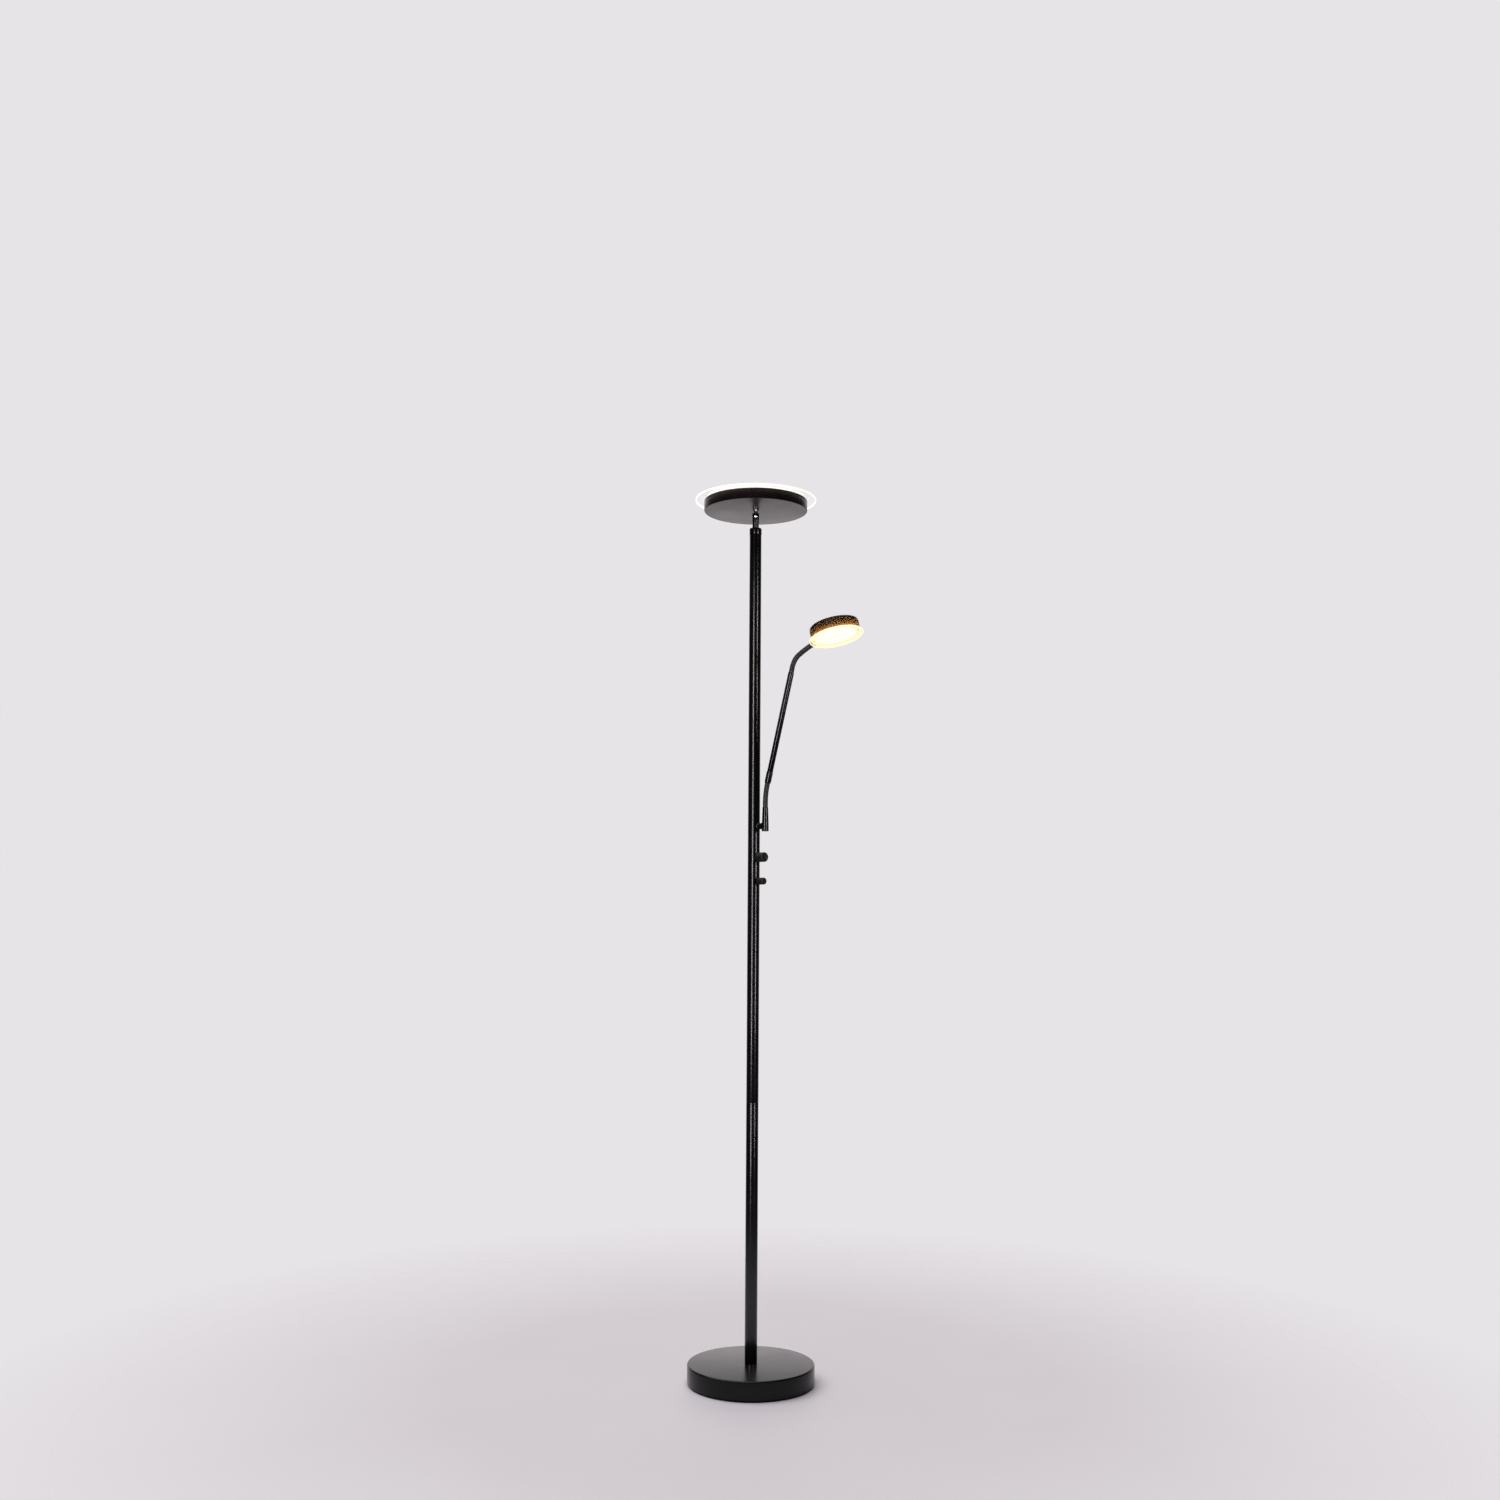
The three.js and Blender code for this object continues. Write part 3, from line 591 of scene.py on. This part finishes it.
# ---- pole -----------------------------------------------------------------------
def make_pole():
    edge = 0.35
    belt = 9            # corners this far above and below a hole keep the tube's long faces flat
    drill_from, drill_to = 4, 16
    bores = {"pole_tube_3": [(3.4, SWITCH), (4.1, DIMMER), (3.4, BRACKET)]}
    for number in range(1, 5):
        node = f"pole_tube_{number}"
        radius, bottom, top = fit(node)
        belts = []
        for _, place in bores.get(node, []):
            height = place.to_translation().z / MM
            belts += [(radius, height - belt), (radius, height + belt)]
        tube = turned(f"drawn_tube_{number}", [
            (radius - TUBE_WALL, bottom), (radius, bottom, edge), *belts, (radius, top, edge),
            (radius - TUBE_WALL, top),
        ], TUBE_SIDES, ring=True)
        for bore_radius, place in bores.get(node, []):
            drill(tube, hole_tool(bore_radius, drill_from, drill_to, place))
        finish_piece(tube, BLACK_COAT, "powder_black", "stand", node)

    radius, spigot_bottom, top = fit("pole_cap")
    shoulder = fit("pole_tube_4")[2]
    spigot = POLE_RADIUS - TUBE_WALL - GAP
    bore = 4.3
    cap = turned("turned_pole_cap", [
        (bore, spigot_bottom), (spigot, spigot_bottom, 0.6), (spigot, shoulder), (radius, shoulder, 0.35),
        (radius, top, 2.0), (bore, top, 0.3),
    ], TUBE_SIDES, ring=True)
    finish_piece(cap, BLACK_COAT, "powder_black", "stand", "pole_cap")


# ---- rotary controls --------------------------------------------------------------
def make_knobs():
    """Each knob is hollow at its back for the nut, and has a shallow dish in its face."""
    bush_end = POLE_RADIUS + 3
    pocket_floor = bush_end + 1
    for name, place, spindle, pocket in (("dimmer", DIMMER, 3.3, 6.4), ("switch", SWITCH, 2.5, 5.6)):
        radius, start, end = fit(f"{name}_knob", place)
        spindle_end = end - 6 + GAP
        dish = radius - 3.2
        dish_floor = end - 0.3
        knob = turned(f"{name}_turning_knob", [
            (0, spindle_end), (spindle, spindle_end), (spindle, pocket_floor), (pocket, pocket_floor),
            (pocket, start, 0.2), (radius - 0.2, start, 1.8), (radius, start + 4), (radius, end, 2.6),
            (dish, end), (dish - 0.5, dish_floor), (0, dish_floor),
        ], TUBE_SIDES)
        finish_piece(knob, PLASTIC, "black_plastic", name, f"{name}_knob", place=place)


# ---- arm mount ----------------------------------------------------------------------
def make_arm_mount():
    """A stub with a collar at each end, and a socket that tapers up to the neck from a beaded foot."""
    radius, start, end = fit("arm_bracket", BRACKET)
    socket_radius, bottom, top = fit("arm_socket", SOCKET)
    pin = 3.0
    shank = radius - 0.6
    pole_side = POLE_RADIUS + GAP
    socket_side = SOCKET_REACH - socket_radius - GAP
    bracket = turned("bracket_stub", [
        (0, start), (pin, start, 0.4), (pin, pole_side), (radius, pole_side, 1.2),
        (radius, pole_side + 3.6, 0.6), (shank, pole_side + 4.4, 0.4), (shank, socket_side - 3.4, 0.4),
        (radius, socket_side - 2.6, 0.6), (radius, socket_side, 0.5), (pin, socket_side), (pin, end, 0.4),
        (0, end),
    ])
    finish_piece(bracket, BLACK_COAT, "powder_black", "stand", "arm_bracket", place=BRACKET)

    radius = socket_radius
    waist = BRACKET_HEIGHT / MM
    neck_floor = top - 3.5
    socket = turned("tapered_arm_socket", [
        (0, bottom), (radius - 0.9, bottom, 0.3), (radius, bottom + 1.1, 0.3), (radius, bottom + 3.2, 0.2),
        (radius - 0.4, bottom + 3.7), (radius - 0.05, bottom + 4.2, 0.2), (radius - 0.1, waist, 3.0),
        (5.85, top, 0.3), (NECK_BORE, top), (NECK_BORE, neck_floor), (0, neck_floor),
    ], TUBE_SIDES)
    # The socket is modelled on the pole's axis, so its pin hole is cut there and moves out with it.
    axis = BRACKET @ Matrix.Translation((0, 0, -SOCKET_REACH * MM))
    drill(socket, hole_tool(pin + GAP, SOCKET_REACH - 10, SOCKET_REACH, axis))
    finish_piece(socket, BLACK_COAT, "powder_black", "stand", "arm_socket", place=SOCKET)


# ---- reading arm --------------------------------------------------------------------
def make_arm():
    radius, bottom, top = fit("arm_ferrule", ARM)
    tube_bore = 6.3
    tube_seat = bottom + 5.85
    ferrule = turned("arm_lower_ferrule", [
        (NECK_BORE, bottom), (5.95, bottom, 0.15), (radius, bottom + 3.0, 1.0), (radius, top, 0.5),
        (tube_bore, top), (tube_bore, tube_seat), (NECK_BORE, tube_seat),
    ], ring=True)
    finish_piece(ferrule, BLACK_COAT, "powder_black", "arm", "arm_ferrule", place=ARM)

    radius, bottom, top = fit("arm_tube", ARM)
    inside = radius - TUBE_WALL
    tube = turned("arm_drawn_tube", [
        (inside, bottom), (radius, bottom, 0.3), (radius, top, 0.3), (inside, top),
    ], ring=True)
    finish_piece(tube, BLACK_COAT, "powder_black", "arm", "arm_tube", place=ARM)

    shoulder = top + GAP
    radius, bottom, top = fit("arm_tube_plug", ARM)
    bore = 2.5
    spigot = 4.7
    plug = turned("arm_end_plug", [
        (bore, bottom), (spigot, bottom, 0.3), (spigot, shoulder), (radius, shoulder),
        (radius - 0.35, top, 0.25), (bore, top),
    ], ring=True)
    finish_piece(plug, BLACK_COAT, "powder_black", "arm", "arm_tube_plug", place=ARM)


# ---- flexible necks -----------------------------------------------------------------
NECK_RADIUS = 5.3
NECK_GROOVE = 0.28
NECK_SHOULDER = 0.06            # how far each rib falls away beside its crest
NECK_SIDES = 32
NECK_INSET_RIBS = 2             # ribs that run on into the socket or ferrule at each end


def neck_rib(pitch):
    """One turn of the winding, as an open band along +X."""
    low = NECK_RADIUS - NECK_GROOVE
    shoulder = NECK_RADIUS - NECK_SHOULDER
    rib = turned("neck_rib", [
        (low, 0), (shoulder, 0.22 * pitch), (NECK_RADIUS, 0.5 * pitch), (shoulder, 0.78 * pitch),
        (low, pitch),
    ], NECK_SIDES, sharp=SHARP_ON_NECK)
    put(rib, OUTWARDS)
    return rib


def neck_line(name, stations):
    """A smooth curve through the neck's joints, with its ends run on."""
    deselect()
    bpy.ops.curve.primitive_bezier_curve_add()
    line = bpy.context.object
    line.name = name
    line.matrix_world = Matrix.Identity(4)
    line.data.twist_mode = "MINIMUM"
    spline = line.data.splines[0]
    spline.resolution_u = 32
    spline.bezier_points.add(len(stations) - 2)
    for point, station in zip(spline.bezier_points, stations):
        point.handle_left_type = point.handle_right_type = "AUTO"
        point.co = station
    return line


def wind(part, ribs, pitch, line):
    """Repeats one rib into a closed winding, and lays it along a curve."""
    row = part.modifiers.new("turns", "ARRAY")
    row.count = ribs
    row.use_relative_offset = False
    row.use_constant_offset = True
    row.constant_offset_displace = (pitch * MM, 0, 0)
    row.use_merge_vertices = True
    row.merge_threshold = WELD * MM * 5
    apply_modifiers(part)
    bpy.ops.object.mode_set(mode="EDIT")
    bpy.ops.mesh.select_all(action="SELECT")
    bpy.ops.mesh.fill_holes(sides=0)
    bpy.ops.mesh.normals_make_consistent(inside=False)
    bpy.ops.object.mode_set(mode="OBJECT")
    bend = part.modifiers.new("bend", "CURVE")
    bend.object = line
    bend.deform_axis = "POS_X"
    apply_modifiers(part)
    shade(SHARP_ON_NECK)


def make_neck(name, joints, ribs_each, into_start, into_end, link_nodes):
    """A wound neck in one piece for each joint, from mid-link to mid-link, laid along one smooth curve
    through the joints.
    """
    stations = [joint_point(joint) for joint in joints]
    pitch = (stations[1] - stations[0]).length / MM / ribs_each
    inset = NECK_INSET_RIBS * pitch * MM
    stations = [stations[0] + into_start * inset, *stations, stations[-1] + into_end * inset]
    line = neck_line(f"{name}_line", stations)
    rib = neck_rib(pitch)
    half = ribs_each // 2
    for number, joint in enumerate(joints, start=1):
        first, last = number == 1, number == len(joints)
        before = NECK_INSET_RIBS if first else half
        after = NECK_INSET_RIBS if last else half
        start = NECK_INSET_RIBS + (number - 1) * ribs_each - before
        part = rib.copy()
        part.data = rib.data.copy()
        part.name = part.data.name = f"{name}_winding_{number}"
        bpy.context.scene.collection.objects.link(part)
        put(part, Matrix.Translation((start * pitch * MM, 0, 0)))
        wind(part, before + after, pitch, line)
        part.data.materials.clear()
        part.data.materials.append(WOUND)
        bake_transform(part)
        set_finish(part, "flex_steel")
        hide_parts(*link_nodes[max(0, number - 2):number])
    bpy.data.objects.remove(line)
    bpy.data.objects.remove(rib)


def make_necks():
    up = Vector((0, 0, 1))
    arm_direction = (ARM_END - ARM_START).normalized()
    head_inwards = READING.to_3x3() @ Vector((1, 0, 0))
    make_neck(
        "lower",
        ["lower_neck_bend", "lower_neck_side", "lower_neck_bend_2", "lower_neck_side_2", "lower_neck_bend_3"],
        ribs_each=10, into_start=-up, into_end=arm_direction,
        link_nodes=[f"lower_neck_link_{i}" for i in range(1, 5)])
    make_neck(
        "upper",
        ["upper_neck_bend", "upper_neck_side", "upper_neck_bend_2", "upper_neck_side_2", "upper_neck_bend_3",
         "upper_neck_side_3", "upper_neck_bend_4"],
        ribs_each=12, into_start=-arm_direction, into_end=head_inwards,
        link_nodes=[f"upper_neck_link_{i}" for i in range(1, 7)])


# ---- reading head -------------------------------------------------------------------
RIBS = 60
SEGMENTS_PER_RIB = 4            # half of them stand up, and half are the hollow beside
RIVET_ANGLES = (math.radians(24), math.radians(230))


def make_reading_housing():
    """A shallow can, with upright hollows let into its side all round."""
    radius, mouth, back = fit("reading_housing", READING)
    inside = radius - 2.2
    floor = back - 2.5
    rib_start = mouth + 1.2
    rib_end = back - 4.2
    sides = RIBS * SEGMENTS_PER_RIB
    housing = turned("ribbed_reading_housing", [
        (0, back), (radius - 0.6, back, 1.6), (radius - 0.2, rib_end + 1.2), (radius - 0.2, rib_end),
        (radius, rib_end), (radius, rib_start), (radius, mouth, 0.3), (inside, mouth, 0.3),
        (inside, floor, 1.5), (0, floor),
    ], sides)
    activate(housing)
    bpy.ops.object.mode_set(mode="EDIT")
    bpy.ops.mesh.select_all(action="DESELECT")
    bpy.ops.object.mode_set(mode="OBJECT")
    for face in housing.data.polygons:
        height = face.center.z / MM
        segment = math.floor(math.atan2(face.center.y, face.center.x) / (2 * math.pi) * sides)
        on_side = rib_start < height < rib_end and math.hypot(*face.center.xy) > (radius - 1) * MM
        face.select = on_side and segment % SEGMENTS_PER_RIB < SEGMENTS_PER_RIB // 2
    bpy.ops.object.mode_set(mode="EDIT")
    bpy.ops.mesh.select_mode(type="FACE")
    bpy.ops.mesh.inset(thickness=0.35 * MM, depth=-0.8 * MM, use_even_offset=True)
    bpy.ops.object.mode_set(mode="OBJECT")
    shade(SHARP_ON_RIBS)
    collar_bore = 4.3
    drill(housing, hole_tool(collar_bore, radius - 6, radius + 4, READING.inverted() @ COLLAR))
    finish_piece(housing, HOUSING_BLACK_WITH_PAINTED_GLOW, "black_aluminium", "reading_head", "reading_housing", place=READING)


def make_reading_head():
    make_reading_housing()
    radius, spigot_end, mouth = fit("reading_ferrule", COLLAR)
    bore = 2
    spigot = 4
    shoulder = fit("reading_housing", READING)[0] + 0.4
    neck_floor = mouth - 3
    collar = turned("reading_neck_collar", [
        (bore, spigot_end), (spigot, spigot_end, 0.4), (spigot, shoulder), (radius, shoulder, 0.3),
        (radius, mouth - 2, 0.6), (5.8, mouth, 0.25), (NECK_BORE, mouth), (NECK_BORE, neck_floor),
        (bore, neck_floor),
    ], ring=True)
    finish_piece(collar, BLACK_COAT, "powder_black", "reading_head", "reading_ferrule", place=COLLAR)

    radius, low, high = fit("reading_diffuser", READING)
    lit = opal_sheet("reading_opal", READING, radius, core=(1.0, 1.0, 1.0), edge=(0.72, 0.63, 0.56),
                     strength=1.25)
    groove = radius - 2.2
    groove_floor = high - 0.5
    rim = low + 0.8
    diffuser = turned("reading_opal_diffuser", [
        (0, low), (groove, low, 0.6), (groove + 0.3, groove_floor), (radius - 0.5, groove_floor),
        (radius - 0.3, rim), (radius, rim), (radius, high, 0.3), (0, high),
    ], WIDE_SIDES)
    finish_piece(diffuser, lit, "opal_diffuser", "reading_head", "reading_diffuser", place=READING)

    radius, low, high = fit("reading_disc", READING)
    clear = clear_acrylic("reading_clear", READING, radius, body=(0.45, 0.38, 0.25), glow=(0.8, 0.56, 0.26),
                          rim_glow=(1.0, 0.93, 0.72), veil=0.26)
    disc = turned("reading_clear_disc", [
        (0, low), (radius, low, 0.5), (radius, high, 0.5), (0, high),
    ], WIDE_SIDES)
    finish_piece(disc, clear, "clear_acrylic", "reading_head", "reading_disc", place=READING)
    make_disc_rivets(spread=radius - 7, face=low)


def make_disc_rivets(spread, face):
    """Two cream push-in rivets, which hold the clear disc on."""
    head = 2.5
    for number, angle in enumerate(RIVET_ANGLES, start=1):
        rivet = turned(f"disc_rivet_{number}", [
            (0, face - 0.35), (0.8, face - 0.35, 0.15), (1.3, face - 0.9, 0.3), (head - 0.5, face - 0.8, 0.5),
            (head, face - 0.1), (0, face - 0.1),
        ])
        spot = Matrix.Translation((math.cos(angle) * spread * MM, math.sin(angle) * spread * MM, 0))
        finish_piece(rivet, CREAM, "clear_acrylic", "reading_head", place=READING @ spot)


# ---- main head ----------------------------------------------------------------------
WIRE_BORE = 1.8
BALL_RADIUS = 5.5


def make_ball_socket(ball):
    """A cup round the ball, open at its top, with a slot down one side for the stem to tip into."""
    radius, spigot_bottom, top = fit("head_socket")
    seat = fit("pole_cap")[2] + GAP
    spigot = 4
    socket = turned("slotted_ball_socket", [
        (0, spigot_bottom), (spigot, spigot_bottom, 0.5), (spigot, seat), (6.7, seat, 0.35),
        (radius, top - 2, 0.8), (radius - 1, top, 0.4), (0, top),
    ], TUBE_SIDES)
    mouth = 4.6
    drill(socket, hole_tool(WIRE_BORE, spigot_bottom - 1, ball))
    drill(socket, hole_tool(mouth, ball, top + 2))
    deselect()
    bpy.ops.mesh.primitive_uv_sphere_add(
        segments=SMALL_SIDES, ring_count=SMALL_SIDES // 2, radius=(BALL_RADIUS + 0.5) * MM,
        location=BALL_CENTRE)
    drill(socket, bpy.context.object)
    slot_width = 8.8
    slot_bottom = ball - 4.6
    slot = Vector((radius + 3, slot_width, top + 2 - slot_bottom))
    deselect()
    bpy.ops.mesh.primitive_cube_add(size=1)
    cutter = bpy.context.object
    out = SLOT_DIRECTION * slot.x / 2 * MM
    turn = Matrix.Rotation(math.atan2(out.y, out.x), 4, "Z")
    cutter.matrix_world = Matrix.Translation(
        (out.x, out.y, (slot_bottom + slot.z / 2) * MM)) @ turn @ Matrix.Diagonal((*(slot * MM), 1))
    drill(socket, cutter)
    finish_piece(socket, BLACK_COAT, "powder_black", "head_joint", "head_socket")


def make_head_joint():
    ball = BALL_CENTRE.z / MM
    make_ball_socket(ball)
    stem = 4.0
    thread = 3.4
    stem_top = fit("head_pan")[1]
    thread_top = fit("ball_stud")[2]
    start = -math.acos(WIRE_BORE / BALL_RADIUS)
    end = math.acos(stem / BALL_RADIUS)
    steps = 20
    angles = [start + (end - start) * i / steps for i in range(steps + 1)]
    stud = turned("ball_and_stem", [
        *[(BALL_RADIUS * math.cos(angle), ball + BALL_RADIUS * math.sin(angle)) for angle in angles],
        (stem, stem_top - 0.5), (thread, stem_top), (thread, thread_top, 0.3), (WIRE_BORE, thread_top),
    ], ring=True)
    finish_piece(stud, CHROME, "chrome", "main_head", "ball_stud")


def make_main_head():
    radius, bottom, top = fit("head_pan")
    wall = 1.5
    inside = radius - wall
    floor = bottom + wall
    bore = 3.7
    pan = turned("spun_head_pan", [
        (bore, bottom), (radius, bottom, 2.2), (radius, top - 1.6, 0.3), (radius - 0.25, top - 1.35),
        (radius, top - 1.1, 0.3), (radius, top, 0.4), (inside, top, 0.3), (inside, floor, 1.5), (bore, floor),
    ], WIDE_SIDES, ring=True)
    finish_piece(pan, PAN_BLACK_WITH_PAINTED_WARM_LIGHT, "powder_black", "main_head", "head_pan")

    radius, bottom, top = fit("head_gasket")
    bore = 103
    gasket = turned("head_gasket_ring", [
        (bore, bottom), (radius, bottom, 0.3), (radius - 0.5, (bottom + top) / 2, 0.3), (radius, top, 0.3),
        (bore, top),
    ], WIDE_SIDES, ring=True)
    finish_piece(gasket, PLASTIC, "black_plastic", "main_head", "head_gasket")

    radius, bottom, top = fit("head_diffuser")
    lit = opal_sheet("head_opal", POLE, radius, core=(1.0, 0.90, 0.72), edge=(1.0, 0.78, 0.50), strength=5.0)
    diffuser = turned("head_opal_diffuser", [
        (0, bottom), (radius, bottom, 0.3), (radius, top, 0.3), (radius - 5, top - 0.3), (0, top - 0.3),
    ], WIDE_SIDES)
    finish_piece(diffuser, lit, "opal_diffuser", "main_head", "head_diffuser")

    radius, bottom, top = fit("head_disc")
    clear = clear_acrylic("head_clear", POLE, radius, body=(0.84, 0.86, 0.86), glow=(0.7, 0.65, 0.58),
                          rim_glow=(1.0, 0.96, 0.86), veil=0.02)
    disc = turned("head_clear_disc", [
        (0, bottom), (radius, bottom, 0.6), (radius, top, 0.6), (0, top),
    ], WIDE_SIDES)
    finish_piece(disc, clear, "clear_acrylic", "main_head", "head_disc")


# ---- CAD nodes that stay as they are ----------------------------------------------------
CARRIED = [
    (IRON, ["base_weight"]),
    (ZINC, ["base_stud", "base_washer", "base_nut", "pole_foot", "pole_coupler_1", "pole_coupler_2",
            "pole_coupler_3", "dimmer_spindle", "switch_spindle", "arm_bracket_nut", "reading_ferrule_nut",
            "socket_nut", "stem_nut"]),
    (BLACK_COAT, ["dimmer_nut", "switch_nut"]),
    (PLASTIC, ["dimmer_body", "switch_body", "head_driver"]),
    (SHEATH, ["lower_lead", "upper_lead"]),
    (ALUMINIUM, ["head_heat_plate"]),
    (BOARD, ["head_led_board", "reading_led_board"]),
]


def dress_carried_nodes():
    for material, nodes in CARRIED:
        for node in nodes:
            mesh = frame["nodes"][node].data
            mesh.materials.clear()
            mesh.materials.append(material)


# ---- stage --------------------------------------------------------------------------------
VIEW_AZIMUTH = math.radians(50)
TOWARDS_CAMERA = Vector((math.sin(VIEW_AZIMUTH), -math.cos(VIEW_AZIMUTH), 0))
CAMERA_RIGHT = Vector((math.cos(VIEW_AZIMUTH), math.sin(VIEW_AZIMUTH), 0))
CAMERA_DISTANCE = 3.186
CAMERA_LEFT_OF_POLE = 0.0091
CAMERA_HEIGHT = 0.9156
CAMERA_PITCH = math.radians(6.295)      # above level
CAMERA_ROLL = math.radians(0.35)
SENSOR_WIDTH = 36
FOCAL_LENGTH = 37


def make_camera():
    deselect()
    bpy.ops.object.camera_add()
    camera = bpy.context.object
    spot = TOWARDS_CAMERA * CAMERA_DISTANCE - CAMERA_RIGHT * CAMERA_LEFT_OF_POLE
    spot.z = CAMERA_HEIGHT
    camera.matrix_world = (
        Matrix.Translation(spot) @ Matrix.Rotation(VIEW_AZIMUTH, 4, "Z")
        @ Matrix.Rotation(math.pi / 2 + CAMERA_PITCH, 4, "X") @ Matrix.Rotation(CAMERA_ROLL, 4, "Z"))
    camera.data.sensor_width = SENSOR_WIDTH
    camera.data.lens = FOCAL_LENGTH
    bpy.context.scene.camera = camera


def make_floor():
    """A plain pale floor that fades into the backdrop."""
    radius = 3.0
    below = 0.0005
    fade_from, fade_to = 0.6, 1.6
    deselect()
    bpy.ops.mesh.primitive_circle_add(vertices=96, radius=radius, fill_type="NGON", location=(0, 0, -below))
    floor = bpy.context.object
    floor.name = "studio_floor"
    paint = Finish("pale_floor", Roughness=0.55, Specular_IOR_Level=0.3)
    cloud = paint.noise(400, detail=3)
    paint.drive("Base Color", paint.tint(cloud, (0.3, (0.655, 0.615, 0.655)), (0.7, (0.675, 0.635, 0.675))))
    paint.drive("Alpha", paint.spread(paint.radius(), 1.0, 0.0, fade_from, fade_to))
    floor.data.materials.append(paint.material)


def make_backdrop():
    """A plain pale backdrop. The room that the lamp mirrors is brighter behind it than in front."""
    world = bpy.data.worlds.new("pale_backdrop")
    bpy.context.scene.world = world
    world.use_nodes = True
    nodes, links = world.node_tree.nodes, world.node_tree.links
    nodes.clear()
    direction = nodes.new("ShaderNodeTexCoord").outputs["Generated"]
    facing = nodes.new("ShaderNodeVectorMath")
    facing.operation = "DOT_PRODUCT"
    facing.inputs[1].default_value = -TOWARDS_CAMERA
    links.new(direction, facing.inputs[0])
    bright = nodes.new("ShaderNodeMapRange")
    set_range(bright, start=0.55, end=0.93, low=0.04, high=1.12)
    links.new(facing.outputs["Value"], bright.inputs["Value"])
    room = nodes.new("ShaderNodeBackground")
    room.inputs["Color"].default_value = (1.0, 0.94, 0.955, 1)
    links.new(bright.outputs["Result"], room.inputs["Strength"])
    wall = nodes.new("ShaderNodeBackground")
    wall.inputs["Color"].default_value = (0.799, 0.776, 0.799, 1)
    path = nodes.new("ShaderNodeLightPath")
    mix = nodes.new("ShaderNodeMixShader")
    links.new(path.outputs["Is Camera Ray"], mix.inputs["Fac"])
    links.new(room.outputs["Background"], mix.inputs[1])
    links.new(wall.outputs["Background"], mix.inputs[2])
    out = nodes.new("ShaderNodeOutputWorld")
    links.new(mix.outputs["Shader"], out.inputs["Surface"])


# Two tall strips draw the long highlights on the round pieces. They would grey these broad faces all over.
OUT_OF_STRIPS = ("spun_base_cover", "spun_head_pan")


def shine_only_on(light, pieces):
    lit = bpy.data.collections.new(f"lit_by_{light.name}")
    for piece in pieces:
        lit.objects.link(piece)
    light.light_linking.receiver_collection = lit


def add_light(kind, name, power, spot=(0, 0, 0), aim=None, **settings):
    """A light at a spot, turned to shine along a direction."""
    deselect()
    bpy.ops.object.light_add(type=kind, location=spot)
    light = bpy.context.object
    light.name = name
    light.data.energy = power
    for setting, value in settings.items():
        setattr(light.data, setting, value)
    if aim:
        light.rotation_euler = aim.to_track_quat("-Z", "Y").to_euler()
    if kind == "AREA":
        light.visible_camera = False
    return light


def make_strip(name, azimuth, distance, height, width, tall, power):
    """A soft strip at an azimuth from the camera's side of the lamp, facing the pole."""
    turn = VIEW_AZIMUTH + math.radians(azimuth)
    spot = Vector((math.sin(turn) * distance, -math.cos(turn) * distance, height))
    target = Vector((0, 0, min(height, 1.0)))
    strip = add_light("AREA", name, power, spot, target - spot, shape="RECTANGLE", size=width, size_y=tall)
    strip.visible_diffuse = False
    pieces = [piece for piece in bpy.data.objects if piece.get("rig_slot")]
    shine_only_on(strip, [piece for piece in pieces if piece.name not in OUT_OF_STRIPS])


def make_overhead_light():
    """Even soft light from above, for the floor and the tops of the pieces."""
    light = add_light("SUN", "overhead_light", 2.7, (0, 0, 3), angle=math.radians(70))
    light.rotation_euler = (math.radians(14), math.radians(-8), 0)


def make_ball_light():
    """A broad soft light close in front of the chrome ball, and for that piece alone."""
    distance = 0.5
    light = add_light("AREA", "ball_light", 15, BALL_CENTRE + TOWARDS_CAMERA * distance, -TOWARDS_CAMERA,
                      shape="RECTANGLE", size=1.6, size_y=2.4)
    light.visible_diffuse = False
    shine_only_on(light, [bpy.data.objects["ball_and_stem"]])


def make_spill_light():
    """The reading lamp's own light on its ribs, let out round the edge of its clear disc."""
    light = add_light("AREA", "reading_spill", 2.8, shape="DISK", size=0.113, color=(1.0, 0.50, 0.13))
    behind_disc = 0.0016
    light.matrix_world = READING @ Matrix.Translation((0, 0, behind_disc)) @ Matrix.Rotation(math.pi, 4, "X")
    shine_only_on(light, [bpy.data.objects["ribbed_reading_housing"]])
    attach(light, "reading_head")


def make_lights():
    make_strip("left_strip", azimuth=-24, distance=2.6, height=1.2, width=0.26, tall=2.0, power=38)
    make_strip("right_strip", azimuth=46, distance=2.6, height=1.35, width=0.22, tall=1.9, power=27)
    make_overhead_light()
    make_ball_light()
    make_spill_light()


make_base()
make_pole()
make_knobs()
make_arm_mount()
make_arm()
make_necks()
make_reading_head()
make_head_joint()
make_main_head()
dress_carried_nodes()
make_camera()
make_floor()
make_backdrop()
make_lights()
bpy.context.scene.view_settings.view_transform = "Standard"
